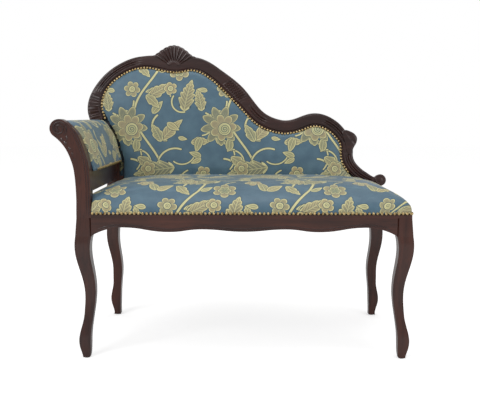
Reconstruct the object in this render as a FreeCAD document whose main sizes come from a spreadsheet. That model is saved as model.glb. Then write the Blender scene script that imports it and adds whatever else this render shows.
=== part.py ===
import FreeCAD, Part
import Sketcher
import math
import os
import sys

# Fainting couch: a raked, moulded back that sweeps down from a high arch at the left to a low
# scroll at the right, one scrolled arm, a sprung seat and four cabriole or sabre legs.
# X runs to the sitter's left as drawn (the arm is at -X), Y runs to the back, Z is up.
# The floor is Z = 0 and the origin is under the middle of the whole couch. Lengths are mm.

Vector = FreeCAD.Vector
Rotation = FreeCAD.Rotation
Placement = FreeCAD.Placement
doc = FreeCAD.newDocument("FaintingCouch")

# Driving sizes

DRIVING_SIZES = [
    ("seat_half", 454.0, "half the width over the legs"),
    ("nail_line", 404.0, "top of the show wood of the seat rails"),
    ("tacking_rise", 26.0, "tacking strip above the show wood, under the cover"),
    ("cover_rebate", 5.0, "how far the tacking strip stands back from the show wood"),
    ("seat_crown", 76.0, "crown of the seat above the nail line"),
    ("seat_back_y", 402.0, "rear edge of the seat cushion"),
    ("rail_thick", 26.0, "thickness of the front rail"),
    ("side_rail_thick", 24.0, "thickness of the side rails"),
    ("rail_depth", 52.0, "height of the side and back rails' show wood"),
    ("leg_width", 39.0, "width of a front leg's block at the rail"),
    ("leg_depth", 34.0, "depth of a front leg's block at the rail"),
    ("knee_proud", 3.0, "how far the knee stands in front of the rail"),
    ("rear_leg_y", 398.0, "front face of a rear leg at the rail"),
    ("rear_leg_depth", 36.0, "depth of a rear leg at the rail"),
    ("rear_leg_width", 39.0, "width of a rear leg at the rail"),
    ("rear_leg_set_in", 3.0, "how far a rear leg stands in from a front one"),
    ("back_rail_lead", 6.0, "how far the back seat rail stands in front of the rear legs"),
    ("sabre_sweep", 50.0, "how far a rear foot reaches behind its rail"),
    ("back_y", 410.0, "front plane of the back frame, at the hinge height of the rake"),
    ("back_z", 400.0, "height at which the rake starts"),
    ("rake", 8.0, "lean of the back, degrees"),
    ("back_rise", 503.0, "height of the shell above back_z, up the raked plane"),
    ("back_thick", 28.0, "thickness of the back frame"),
    ("pad_rebate", 5.0, "depth of the rebate that the back pad is nailed in"),
    ("pad_rebate_width", 16.0, "width of that rebate"),
    ("back_crown", 13.0, "how far the back pad stands in front of the frame"),
    ("groove_width", 6.4, "width of the grooves along the back frame"),
    ("groove_depth", 3.2, "depth of those grooves"),
    ("outer_groove_inset", 11.0, "outer edge to the middle of the outer groove"),
    ("inner_groove_inset", 21.0, "outer edge to the middle of the inner groove"),
    ("shell_proud", 6.0, "how far the shell stands in front of the frame"),
    ("shell_flutes", 9, "flutes of the shell"),
    ("shell_spread", 146.0, "angle that the flutes fan over, degrees"),
    ("arm_height", 257.0, "top of the arm scroll above the nail line"),
    ("scroll_radius", 25.0, "radius of the arm scroll"),
    ("arm_overhang", 65.5, "how far the scroll reaches outside the legs"),
    ("arm_rail_height", 53.0, "height of the lower arm rail"),
    ("arm_slit", 62.0, "nail line to the underside of the lower arm rail"),
    ("arm_rail_thick", 25.0, "thickness of the lower arm rail"),
    ("roll_rail_radius", 14.5, "radius of the rail inside the arm's roll"),
    ("terminal_radius", 19.0, "radius of the scroll at the low end of the back"),
    ("terminal_set_in", 11.0, "middle of that scroll in from the outside of the legs"),
    ("webbing_width", 50.0, "width of a webbing strap"),
    ("webbing_thick", 1.5, "thickness of a webbing strap"),
    ("long_straps", 8, "straps from front to back"),
    ("cross_straps", 4, "straps from side to side"),
    ("cloth_thick", 1.2, "thickness of the deck cloths"),
    ("cover_thick", 3.0, "thickness of a cover with its wadding"),
    ("panel_thick", 2.5, "thickness of the outside panels"),
    ("block_leg", 54.0, "side of a corner block along each rail"),
    ("block_height", 36.0, "height of a corner block"),
    ("brace_width", 40.0, "width of the seat brace"),
    ("brace_thick", 18.0, "thickness of the seat brace"),
    ("dowel_radius", 4.0, "radius of the joint dowels"),
    ("dowel_length", 36.0, "length of the joint dowels"),
    ("screw_radius", 2.2, "radius of the block screws"),
    ("screw_length", 34.0, "length of the block screws"),
    ("screw_head_height", 3.0, "height of their heads"),
    ("screw_head_depth", 24.0, "depth of the counterbore behind a head"),
    ("pin_sides", 12, "sides of the dowels, the screws and their holes"),
    ("glide_radius", 8.0, "radius of a foot glide"),
    ("glide_rise", 2.0, "thickness of a foot glide"),
    ("fit_gap", 0.3, "clearance where pieces seat on each other"),
    ("past", 60.0, "how far a cutting outline reaches past what it cuts"),
]

# The shapes further down are drawn at these sizes and grow with the sizes above.
DRAWN = {"seat_half": 454.0, "nail_line": 404.0, "seat_crown": 76.0, "knee_proud": 3.0,
         "leg_width": 39.0, "leg_depth": 34.0, "rear_leg_width": 39.0, "rear_leg_depth": 36.0,
         "back_rise": 503.0, "arm_height": 257.0, "arm_slit": 62.0, "arm_rail_height": 53.0}

sheet = doc.addObject("Spreadsheet::Sheet", "Sizes")
for row, (alias, amount, meaning) in enumerate(DRIVING_SIZES, start=1):
    sheet.set("A%d" % row, meaning)
    sheet.set("B%d" % row, str(amount))
    sheet.setAlias("B%d" % row, alias)
doc.recompute()


class Size:
    """A length that knows its value and the formula that gives it on the sheet."""

    def __init__(self, value, formula):
        self.value = float(value)
        self.formula = formula

    def joined(self, other, sign, value, other_first=False):
        text = other.formula if isinstance(other, Size) else repr(other)
        pair = (text, self.formula) if other_first else (self.formula, text)
        return Size(value, "(%s %s %s)" % (pair[0], sign, pair[1]))

    def __add__(self, other):
        return self.joined(other, "+", self.value + number(other))

    def __radd__(self, other):
        return self.joined(other, "+", number(other) + self.value, True)

    def __sub__(self, other):
        return self.joined(other, "-", self.value - number(other))

    def __rsub__(self, other):
        return self.joined(other, "-", number(other) - self.value, True)

    def __mul__(self, other):
        return self.joined(other, "*", self.value * number(other))

    def __rmul__(self, other):
        return self.joined(other, "*", number(other) * self.value, True)

    def __truediv__(self, other):
        return self.joined(other, "/", self.value / number(other))

    def __neg__(self):
        return Size(-self.value, "(-%s)" % self.formula)


def number(length):
    """The plain value of a Size or of a number."""
    return length.value if isinstance(length, Size) else float(length)


def bind(thing, prop, length):
    """Binds a property to the sheet's formula, or sets it where there is none."""
    if isinstance(length, Size):
        thing.setExpression(prop, length.formula)
    else:
        thing.setExpression(prop, repr(float(length)))


S = {alias: Size(sheet.get(alias), "Sizes." + alias) for alias, amount, meaning in DRIVING_SIZES}

# Places that several pieces share

rail_top = S["nail_line"] + S["tacking_rise"]
side_face = S["seat_half"] - 1.0
leg_inner = S["seat_half"] - S["leg_width"]
rear_outer = S["seat_half"] - S["rear_leg_set_in"]
rear_inner = rear_outer - S["rear_leg_width"]
back_rail_y = S["rear_leg_y"] - S["back_rail_lead"]
rail_foot = S["nail_line"] - S["rail_depth"]
scroll_x = -(S["seat_half"] + S["arm_overhang"] - S["scroll_radius"])
scroll_z = S["nail_line"] + S["arm_height"] - S["scroll_radius"]
arm_rail_foot = S["nail_line"] + S["arm_slit"]
arm_rail_top = arm_rail_foot + S["arm_rail_height"]
terminal_x = S["seat_half"] - S["terminal_set_in"]
top_y = S["back_y"].value + S["back_rise"].value * math.sin(math.radians(S["rake"].value))
top_y += S["back_thick"].value * math.cos(math.radians(S["rake"].value))
TOP_Y = "(Sizes.back_y + Sizes.back_rise * sin(Sizes.rake) + Sizes.back_thick * cos(Sizes.rake))"
middle_x = (S["arm_overhang"] - (S["terminal_radius"] - S["terminal_set_in"])) / 2.0
middle_y = (S["knee_proud"] - Size(top_y, TOP_Y)) / 2.0


def grown(alias, amount):
    """A drawn amount, grown as its size on the sheet has grown since the drawing."""
    return S[alias] * (amount / DRAWN[alias])


def across(x):
    """A drawn X of the back, stretched with the seat; past the legs it keeps its overhang."""
    half = DRAWN["seat_half"]
    if abs(x) <= half:
        return grown("seat_half", x).value
    return math.copysign(S["seat_half"].value + abs(x) - half, x)


def up(v):
    """A drawn height above back_z, stretched with the rise of the back."""
    return grown("back_rise", v).value


def arm_side(x):
    """A drawn X of the arm, which keeps its place beside the post's inner edge."""
    return x - leg_inner.value + DRAWN["seat_half"] - DRAWN["leg_width"]


def arm_up(height):
    """A drawn height of the arm above the nail line, stretched above the lower arm rail."""
    drawn_foot = DRAWN["arm_slit"] + DRAWN["arm_rail_height"]
    drawn_reach = DRAWN["arm_height"] - drawn_foot
    foot = S["arm_slit"].value + S["arm_rail_height"].value
    reach = S["arm_height"].value - foot
    return S["nail_line"].value + foot + (height - drawn_foot) * reach / drawn_reach


# Curves: chains of arcs that meet in one direction

def heading_vector(degrees):
    return Vector(math.cos(math.radians(degrees)), math.sin(math.radians(degrees)), 0)


def arc_from(start, direction, end):
    """The arc that leaves start in a direction and reaches end, with its mid point."""
    chord = end - start
    half_turn = math.atan2(direction.cross(chord).z, direction.dot(chord))
    if abs(half_turn) < 1e-6:
        return (start, (start + end) / 2.0, end, direction, 0.0)
    radius = chord.Length / (2.0 * math.sin(half_turn))
    centre = start + Vector(-direction.y, direction.x, 0) * radius
    spoke = start - centre
    cosine, sine = math.cos(half_turn), math.sin(half_turn)
    middle = centre + Vector(spoke.x * cosine - spoke.y * sine, spoke.x * sine + spoke.y * cosine, 0)
    return (start, middle, end, direction, radius)


def end_direction(arc):
    """The direction in which an arc arrives."""
    chord = (arc[2] - arc[0]).normalize()
    along = arc[3].dot(chord)
    return (chord * (2.0 * along) - arc[3]).normalize()


def chain(nodes):
    """Two arcs from each node to the next; a node is x, y and heading in degrees."""
    arcs = []
    for (x0, y0, a0), (x1, y1, a1) in zip(nodes, nodes[1:]):
        start, end = Vector(x0, y0, 0), Vector(x1, y1, 0)
        leave, arrive = heading_vector(a0), heading_vector(a1)
        span = end - start
        turn = 2.0 * (1.0 - leave.dot(arrive))
        along = span.dot(leave + arrive)
        if turn < 1e-9:
            reach = span.dot(span) / (4.0 * span.dot(arrive))
        else:
            reach = (math.sqrt(along * along + turn * span.dot(span)) - along) / turn
        meet = (start + leave * reach + end - arrive * reach) / 2.0
        first = arc_from(start, leave, meet)
        arcs += [first, arc_from(meet, end_direction(first), end)]
    return arcs


def left_of(direction):
    return Vector(-direction.y, direction.x, 0)


def beside(arcs, distance):
    """The same chain moved sideways, to its left for a positive distance."""
    moved = []
    for start, middle, end, direction, radius in arcs:
        arrive = end_direction((start, middle, end, direction, radius))
        halfway = (end - start).normalize()
        new_start = start + left_of(direction) * distance
        new_end = end + left_of(arrive) * distance
        new_middle = middle + left_of(halfway) * distance
        new_radius = radius - distance if radius else 0.0
        moved.append((new_start, new_middle, new_end, direction, new_radius))
    return moved


def curve_of(arc):
    start, middle, end, direction, radius = arc
    return Part.Arc(start, middle, end) if radius else Part.LineSegment(start, end)


def reversed_chain(arcs):
    return [(a[2], a[1], a[0], end_direction(a) * -1.0, -a[4]) for a in reversed(arcs)]


def outline_curves(*runs):
    """Curves of a closed outline: arc chains and loose corners in order, lines between them."""
    curves = []
    ends = []
    for run in runs:
        if isinstance(run, tuple):
            ends.append((Vector(*run), Vector(*run), []))
        else:
            ends.append((run[0][0], run[-1][2], [curve_of(a) for a in run]))
    for index, (start, end, inside) in enumerate(ends):
        curves += inside
        following = ends[(index + 1) % len(ends)][0]
        if (following - end).Length > 1e-6:
            curves.append(Part.LineSegment(end, following))
    return curves


# Sketches, bodies and their features

def new_body(name):
    body = doc.addObject("PartDesign::Body", name)
    body.Label = name
    bind(body, "Placement.Base.x", middle_x)
    bind(body, "Placement.Base.y", middle_y)
    return body


def new_back_body(name):
    """A body drawn flat and leaned back with the rake: X across, Y through, Z up the plane."""
    body = doc.addObject("PartDesign::Body", name)
    body.Label = name
    lean = "placement(vector(%s; %s; Sizes.back_z); rotation(vector(1; 0; 0); -Sizes.rake))"
    body.setExpression("Placement", lean % (middle_x.formula, (S["back_y"] + middle_y).formula))
    return body


def new_sketch(body, plane, name, offset=0.0):
    """A sketch on one of the body's own planes; offset is along +X, +Y or +Z."""
    sketch = body.newObject("Sketcher::SketchObject", name)
    support = [f for f in body.Origin.OriginFeatures if f.Role == plane + "_Plane"][0]
    sketch.AttachmentSupport = (support, [""])
    sketch.MapMode = "FlatFace"
    bind(sketch, "AttachmentOffset.Base.z", -offset if plane == "XZ" else offset)
    return sketch


def pin_point(sketch, geometry, point, x, y):
    for kind, place in (("DistanceX", x), ("DistanceY", y)):
        index = sketch.addConstraint(
            Sketcher.Constraint(kind, -1, 1, geometry, point, number(place)))
        if isinstance(place, Size):
            sketch.setExpression("Constraints[%d]" % index, place.formula)


def polygon(sketch, corners):
    """A closed polygon whose corners are bound to the sheet."""
    points = [Vector(number(x), number(y), 0) for x, y in corners]
    first = sketch.GeometryCount
    for index, point in enumerate(points):
        following = points[(index + 1) % len(points)]
        sketch.addGeometry(Part.LineSegment(point, following), False)
    for index, (x, y) in enumerate(corners):
        before = first + (index - 1) % len(corners)
        sketch.addConstraint(Sketcher.Constraint("Coincident", before, 2, first + index, 1))
        pin_point(sketch, first + index, 1, x, y)


def circle(sketch, x, y, radius):
    index = sketch.addGeometry(Part.Circle(Vector(number(x), number(y), 0), Vector(0, 0, 1),
                                           number(radius)), False)
    pin_point(sketch, index, 3, x, y)
    constraint = sketch.addConstraint(Sketcher.Constraint("Radius", index, number(radius)))
    if isinstance(radius, Size):
        sketch.setExpression("Constraints[%d]" % constraint, radius.formula)


def curves_into(sketch, curves):
    """Arc chains keep the shape they are drawn with."""
    for curve in curves:
        index = sketch.addGeometry(curve, False)
        sketch.addConstraint(Sketcher.Constraint("Block", index))


def pad(body, sketch, name, length):
    """Pads along +X, +Y or +Z, whichever the sketch faces."""
    feature = body.newObject("PartDesign::Pad", name)
    feature.Profile = sketch
    bind(feature, "Length", length)
    feature.Reversed = "XZ" in sketch.AttachmentSupport[0][0].Role
    body.Tip = feature
    return feature


def pocket(body, sketch, name, length):
    """Cuts along +X, +Y or +Z from the sketch, and checks that it removed something."""
    doc.recompute()
    before = body.Shape.Volume
    feature = body.newObject("PartDesign::Pocket", name)
    feature.Profile = sketch
    bind(feature, "Length", length)
    feature.Reversed = "XZ" not in sketch.AttachmentSupport[0][0].Role
    body.Tip = feature
    doc.recompute()
    if body.Shape.Volume > before - 1.0:
        sys.exit("%s of %s cuts nothing" % (name, body.Label))
    return feature


def section(body, name, height, corners, tilt=0.0, middle_of_tilt=0.0):
    """A level section of a leg, or one square to the raked plane."""
    sketch = new_sketch(body, "XY", name, height)
    if tilt:
        sketch.AttachmentOffset = Placement(Vector(0, number(middle_of_tilt), number(height)),
                                            Rotation(Vector(1, 0, 0), -number(tilt)))
    polygon(sketch, corners)
    return sketch


def loft(body, name, sections, ruled=False):
    feature = body.newObject("PartDesign::AdditiveLoft", name)
    feature.Profile = sections[0]
    feature.Sections = sections[1:]
    feature.Ruled = ruled
    body.Tip = feature
    return feature


pieces = {}


def keep(name, thing):
    """Files a finished piece under its node name."""
    thing.Label = name
    pieces[name] = thing
    return thing


def sine_of_rake(length):
    return Size(length.value * math.sin(math.radians(S["rake"].value)),
                "(%s * sin(Sizes.rake))" % length.formula)


def cosine_of_rake(length):
    return Size(length.value * math.cos(math.radians(S["rake"].value)),
                "(%s * cos(Sizes.rake))" % length.formula)


def raked_y(height, through):
    """Y of the raked plane that lies a distance through the back, at a given Z."""
    slope = math.tan(math.radians(S["rake"].value))
    rise = height - S["back_z"]
    lean = Size(rise.value * slope, "(%s * tan(Sizes.rake))" % rise.formula)
    return S["back_y"] + lean + Size(number(through) * math.hypot(1.0, slope),
                                     "(%s / cos(Sizes.rake))" % repr(number(through)))


# Holes and the dowels and screws that fill them; each place is written once and serves both

placed_body = doc.addObject("Part::Box", "upright_frame")
bind(placed_body, "Placement.Base.x", middle_x)
bind(placed_body, "Placement.Base.y", middle_y)
leaned_body = doc.addObject("Part::Box", "leaned_frame")
leaned_body.setExpression(
    "Placement", "placement(vector(%s; %s; Sizes.back_z); rotation(vector(1; 0; 0); -Sizes.rake))"
    % (middle_x.formula, (S["back_y"] + middle_y).formula))
doc.recompute()
UPRIGHT = placed_body.Placement
LEANED = leaned_body.Placement


def set_along(bar, frame, middle, direction, length):
    """Lays an upright bar along a direction, about a middle point in one of the two frames."""
    bind(bar, "Height", length)
    along = Vector(*direction).normalize()
    start = Vector(*[number(c) for c in middle]) - along * (number(length) / 2.0)
    bar.Placement = frame.multiply(Placement(start, Rotation(Vector(0, 0, 1), along)))
    return bar


def rod(name, frame, middle, direction, radius, length):
    """A dowel, a screw's shank or a hole, with flat sides so that it needs few facets."""
    prism = doc.addObject("Part::Prism", name)
    bind(prism, "Polygon", S["pin_sides"])
    bind(prism, "Circumradius", radius)
    return set_along(prism, frame, middle, direction, length)


joints = {}


def dowel_joint(name, frame, middle, direction, *nodes):
    """A dowel across a joint and the hole for it in both of the joint's pieces."""
    dowel = rod(name, frame, middle, direction, S["dowel_radius"], S["dowel_length"])
    hole = rod(name + "_hole", frame, middle, direction, S["dowel_radius"] + S["fit_gap"],
               S["dowel_length"] + 2.0)
    joints.setdefault("dowels", []).append(dowel)
    for node in nodes:
        joints.setdefault(node, []).append(hole)


def screw_joint(name, seat, direction, *nodes):
    """A countersunk block screw from its head's seat, with its hole and its counterbore."""
    head_radius = S["screw_radius"] * 2.0
    head_height = S["screw_head_height"]
    along = Vector(*direction)
    point = Vector(*[number(c) for c in seat])
    shank_middle = point + along * (S["screw_length"].value / 2.0)
    head_middle = point - along * (head_height.value / 2.0)
    mouth_length = S["screw_head_depth"]
    mouth_middle = point - along * (mouth_length.value / 2.0)
    shank = rod(name + "_shank", UPRIGHT, shank_middle, direction, S["screw_radius"],
                S["screw_length"])
    head = rod(name + "_head", UPRIGHT, head_middle, direction, head_radius, head_height)
    screw = doc.addObject("Part::Fuse", name)
    screw.Base = head
    screw.Tool = shank
    hole = rod(name + "_hole", UPRIGHT, shank_middle, direction, S["screw_radius"] + S["fit_gap"],
               S["screw_length"] + 1.0)
    mouth = rod(name + "_mouth", UPRIGHT, mouth_middle, direction, head_radius + S["fit_gap"],
                mouth_length)
    joints.setdefault("block_screws", []).append(screw)
    for node in nodes:
        joints.setdefault(node, []).append(hole)
    joints.setdefault(nodes[0], []).append(mouth)


# Seat rails

def apron_outline():
    """The apron's shaped lower edge from the left leg to the right one, then the nail line."""
    inner = leg_inner.value
    top = S["nail_line"].value
    half = [(-1.0, -60.0, 42), (-0.966, -51.0, 25), (-0.798, -35.0, 0), (-0.490, -47.5, 0),
            (-0.275, -40.0, 0), (0.0, -46.5, 0)]
    nodes = [(share * inner, top + drop, angle) for share, drop, angle in half]
    nodes += [(-x, z, -angle) for x, z, angle in reversed(nodes[:-1])]
    return outline_curves(chain(nodes), (inner, top), (-inner, top))


def make_front_rail():
    body = new_body("front_rail_blank")
    shape = new_sketch(body, "XZ", "apron_outline")
    curves_into(shape, apron_outline())
    pad(body, shape, "apron", S["rail_thick"])
    strip = new_sketch(body, "XZ", "tacking_strip_outline", S["cover_rebate"])
    polygon(strip, [(-leg_inner, S["nail_line"]), (leg_inner, S["nail_line"]),
                    (leg_inner, rail_top), (-leg_inner, rail_top)])
    pad(body, strip, "tacking_strip", S["rail_thick"] - S["cover_rebate"])
    keep("front_rail", body)


def make_side_rail(side, name):
    """Side rail between the legs, arched a little below, with its tacking strip above."""
    body = new_body(name + "_blank")
    foot, front, rear = rail_foot.value, S["leg_depth"].value, S["rear_leg_y"].value
    arch = chain([(front, foot, 0), ((front + rear) / 2.0, foot + 11.0, 0), (rear, foot, 0)])
    start = -side_face if side < 0 else side_face - S["side_rail_thick"]
    shape = new_sketch(body, "YZ", "rail_outline", start)
    curves_into(shape, outline_curves(arch, (rear, S["nail_line"].value),
                                      (front, S["nail_line"].value)))
    pad(body, shape, "rail", S["side_rail_thick"])
    start = start + S["cover_rebate"] if side < 0 else start
    strip = new_sketch(body, "YZ", "tacking_strip_outline", start)
    polygon(strip, [(S["leg_depth"], S["nail_line"]), (S["rear_leg_y"], S["nail_line"]),
                    (S["rear_leg_y"], rail_top), (S["leg_depth"], rail_top)])
    pad(body, strip, "tacking_strip", S["side_rail_thick"] - S["cover_rebate"])
    keep(name, body)


def make_back_seat_rail():
    body = new_body("back_seat_rail_blank")
    shape = new_sketch(body, "XZ", "rail_outline", back_rail_y)
    polygon(shape, [(-rear_inner, rail_foot), (rear_inner, rail_foot), (rear_inner, rail_top),
                    (-rear_inner, rail_top)])
    pad(body, shape, "rail", S["side_rail_thick"])
    keep("back_seat_rail", body)


# Legs: level sections from the glide up. Each row gives the height, how far the outer side
# stands in from the block, the width, the front face behind the rail's, and the depth.

FRONT_LEG_SHAPE = [(2, 6.5, 18.5, 9.0, 20.0), (22, 2.5, 25.5, 5.0, 25.0), (47, -2.0, 30.5, 3.0, 29.0),
                   (88, 4.5, 27.0, 9.0, 26.0), (135, 12.5, 25.5, 17.0, 25.5),
                   (190, 13.5, 29.0, 20.0, 28.0), (245, 4.0, 34.5, 11.0, 33.0),
                   (300, -6.0, 39.5, -1.5, 38.0), (344, -4.5, 43.5, -1.2, 35.2),
                   (395, 0.0, 39.0, 0.0, 34.0)]
ARRIS = 5.0
block_joint = grown("nail_line", FRONT_LEG_SHAPE[-1][0])


def leg_level(height):
    """The height of a leg's section; the lowest one stands on the glide."""
    return S["glide_rise"] if height == FRONT_LEG_SHAPE[0][0] else grown("nail_line", height)


def front_leg_sections(body, side):
    sections = []
    for height, set_in, width, front, depth in FRONT_LEG_SHAPE:
        outer = S["seat_half"] - set_in
        inner = outer - grown("leg_width", width)
        set_back = grown("knee_proud", front) if front < 0 else front
        back = set_back + grown("leg_depth", depth)
        corners = [(outer * side, set_back), ((inner + ARRIS) * side, set_back),
                   (inner * side, set_back + ARRIS), (inner * side, back), (outer * side, back)]
        sections.append(section(body, "leg_section_%d" % height, leg_level(height), corners))
    return sections


def front_leg(body, side):
    """The cabriole is carved below the rails; its block above them has flat faces."""
    sections = front_leg_sections(body, side)
    loft(body, "cabriole", sections[:-1])
    doc.recompute()
    loft(body, "leg_block", sections[-2:], True)
    doc.recompute()


POST_SHOULDER = 54.0


def post_outline():
    """The arm post sweeps out from the block, round the scroll and back down its inner edge."""
    outer, inner = -S["seat_half"].value, -leg_inner.value
    cx, cz, radius = scroll_x.value, scroll_z.value, S["scroll_radius"].value
    foot, line = block_joint.value, S["nail_line"].value
    rise = grown("arm_height", 1.0).value
    outside = [(outer, foot, 90), (outer + 1.0, line + 52 * rise, 91), (outer - 3, line + 116 * rise, 97),
               (outer - 17, line + 164 * rise, 113),
               (cx - radius * math.cos(math.radians(POST_SHOULDER)),
                cz - radius * math.sin(math.radians(POST_SHOULDER)), 90 + POST_SHOULDER),
               (cx - radius, cz, 90), (cx, cz + radius, 0)]
    bend = 42.0
    inside = [(cx, cz + radius, 0),
              (cx + radius * math.sin(math.radians(bend)),
               cz + radius * math.cos(math.radians(bend)), -bend),
              (inner - 34, line + 223 * rise, -54), (inner - 18, line + 188 * rise, -69),
              (inner - 5, line + 146 * rise, -76), (inner, line + 90 * rise, -90),
              (inner, foot, -90)]
    return outline_curves(chain(outside), chain(inside))


def make_front_left_leg_post():
    body = new_body("front_left_leg_post_blank")
    front_leg(body, -1)
    shape = new_sketch(body, "XZ", "post_outline")
    curves_into(shape, post_outline())
    pad(body, shape, "post", S["leg_depth"])
    keep("front_left_leg_post", body)


def make_front_right_leg():
    body = new_body("front_right_leg_blank")
    front_leg(body, 1)
    block = new_sketch(body, "XY", "block_outline", block_joint)
    polygon(block, [(leg_inner, 0.0), (S["seat_half"], 0.0), (S["seat_half"], S["leg_depth"]),
                    (leg_inner, S["leg_depth"])])
    pad(body, block, "block", S["nail_line"] - block_joint)
    strip = new_sketch(body, "XY", "block_top_outline", S["nail_line"])
    side = side_face - S["cover_rebate"]
    polygon(strip, [(leg_inner, S["cover_rebate"]), (side, S["cover_rebate"]),
                    (side, S["leg_depth"]), (leg_inner, S["leg_depth"])])
    pad(body, strip, "block_top", S["tacking_rise"])
    keep("front_right_leg", body)


REAR_LEG_SHAPE = [(2, 9.0, 22.0, 1.0, 24.0), (36, 4.0, 28.0, 0.94, 26.0), (65, 1.5, 32.0, 0.88, 28.0),
                  (91, 7.0, 28.5, 0.80, 28.0), (132, 12.0, 28.5, 0.64, 29.0),
                  (196, 11.0, 31.0, 0.40, 32.0), (244, 2.0, 35.0, 0.20, 34.0),
                  (291, -1.0, 38.0, 0.06, 36.0), (345, 0.0, 39.0, 0.0, 36.0),
                  (400, 0.0, 39.0, 0.0, 36.0)]
# The left rear leg goes on up behind the arm. Its straight part keeps the leg's width up to
# these drawn heights; above them it curves out, by drawn height and outer and inner X.
STRAIGHT_STILE = [48, 126]
CURVED_STILE = [(165, -459, -418), (210, -478, -433), (248.5, -506, -446)]
STILE_SET_BACK = 2.0
RIGHT_LEG_TOP = 37.0


def rear_leg_sections(body, side):
    sections = []
    for height, set_in, width, sweep, depth in REAR_LEG_SHAPE:
        outer = rear_outer - set_in
        inner = outer - grown("rear_leg_width", width)
        front = S["rear_leg_y"] + S["sabre_sweep"] * sweep
        back = front + grown("rear_leg_depth", depth)
        corners = [(outer * side, front), (inner * side, front), (inner * side, back),
                   (outer * side, back)]
        sections.append(section(body, "leg_section_%d" % height, leg_level(height), corners))
    return sections


def raked_section(body, name, drawn_height, outer, inner):
    height = grown("back_rise", drawn_height)
    sketch = section(body, name, S["back_z"] + cosine_of_rake(height),
                     [(outer, STILE_SET_BACK), (inner, STILE_SET_BACK),
                      (inner, S["back_thick"]), (outer, S["back_thick"])],
                     S["rake"], S["back_y"] + sine_of_rake(height))
    return sketch


def make_back_left_leg():
    body = new_body("back_left_leg_blank")
    sections = rear_leg_sections(body, -1)
    straight = [raked_section(body, "straight_section_%d" % height, height, -rear_outer, -rear_inner)
                for height in STRAIGHT_STILE]
    curved = [raked_section(body, "stile_section_%d" % height, height, across(outer), across(inner))
              for height, outer, inner in CURVED_STILE]
    loft(body, "sabre", sections[:-1])
    doc.recompute()
    loft(body, "straight_part", sections[-2:] + straight, True)
    doc.recompute()
    loft(body, "stile", straight[-1:] + curved)
    keep("back_left_leg", body)


def make_back_right_leg():
    body = new_body("back_right_leg_blank")
    sections = rear_leg_sections(body, 1)
    loft(body, "sabre", sections[:-1])
    doc.recompute()
    top = raked_section(body, "leg_top", RIGHT_LEG_TOP, rear_outer, rear_inner)
    loft(body, "straight_part", sections[-2:] + [top], True)
    keep("back_right_leg", body)


# Back frame: the middle line of the moulded rail as drawn, with its heading and width, over
# the arch, down to where the pad ends, and on to the scroll. The pieces meet at SCARF.

ARCH_SHAPE = [(-491, 279, 107, 47), (-461, 383, 50, 35), (-399, 432, 28, 35), (-338, 451, 6, 37),
              (-285, 449, -12, 43), (-229, 439, -3, 43), (-174, 446, -3, 43), (-99, 414, -37, 42),
              (-30, 355, -44, 50)]
SCARF = (38, 278, -46, 43)
SWEEP_SHAPE = [(115, 239, -12, 42), (171, 244, 18, 41), (227, 261, 3, 41), (289, 240, -36, 39),
               (326, 199, -57, 36), (336, 150, -94, 38), (354, 102, -49, 36)]
TAIL_SHAPE = [(387, 73, -32, 37), (424, 57, -12, 30)]
CREST_SHAPE = ARCH_SHAPE + [SCARF]
LOW_SHAPE = [SCARF] + SWEEP_SHAPE + TAIL_SHAPE
PAD_RAIL_SHAPE = CREST_SHAPE + SWEEP_SHAPE


def rail_edge(side, shape):
    """Outer (side 1) or inner (side -1) edge of the rail along a drawn shape."""
    nodes = []
    for x, v, angle, width in shape:
        away = left_of(heading_vector(angle)) * (side * width / 2.0)
        nodes.append((across(x + away.x), up(v + away.y), angle))
    return chain(nodes)


def rail_blank(body, shape, ledge_shape, heel):
    """The sawn rail, with the rebate inside it for the back pad."""
    outer, inner = rail_edge(1, shape), rail_edge(-1, shape)
    face = new_sketch(body, "XZ", "rail_outline")
    curves_into(face, outline_curves(outer, reversed_chain(inner), *heel))
    pad(body, face, "rail", S["back_thick"])
    edge = rail_edge(-1, ledge_shape)
    hidden = beside(edge, -S["pad_rebate_width"].value)
    ledge = new_sketch(body, "XZ", "rebate_outline", S["pad_rebate"])
    curves_into(ledge, outline_curves(edge, reversed_chain(hidden)))
    pad(body, ledge, "rebate", S["back_thick"] - S["pad_rebate"])


def groove(body, name, shape, inset):
    """A V-shaped groove run along the rail at a constant distance inside its outer edge."""
    run = beside(rail_edge(1, shape), -inset.value)
    path = new_sketch(body, "XZ", name + "_path")
    curves_into(path, [curve_of(a) for a in run])
    start, direction = run[0][0], run[0][3]
    across_cut = body.newObject("Sketcher::SketchObject", name + "_section")
    support = [f for f in body.Origin.OriginFeatures if f.Role == "XY_Plane"][0]
    across_cut.AttachmentSupport = (support, [""])
    across_cut.MapMode = "FlatFace"
    turn = Rotation(Vector(0, 0, 1), Vector(direction.x, 0, direction.y))
    across_cut.AttachmentOffset = Placement(Vector(start.x, 0, start.y), turn)
    half, above = S["groove_width"] / 2.0, S["groove_width"] / -4.0
    polygon(across_cut, [(-half, 0.0), (0.0, S["groove_depth"]), (half, 0.0), (half, above),
                         (-half, above)])
    doc.recompute()
    before = body.Shape.Volume
    cut = body.newObject("PartDesign::SubtractivePipe", name)
    cut.Profile = across_cut
    cut.Spine = (path, [])
    body.Tip = cut
    doc.recompute()
    if body.Shape.Volume > before - 1.0:
        sys.exit(name + " cuts nothing")


SHELL_FOCUS = (-232.0, 430.0)
SHELL_SHAPE = [(-303, 469, 8), (-272, 489, 34), (-232, 503, 0), (-193, 487, -38), (-163, 466, -24)]


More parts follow.
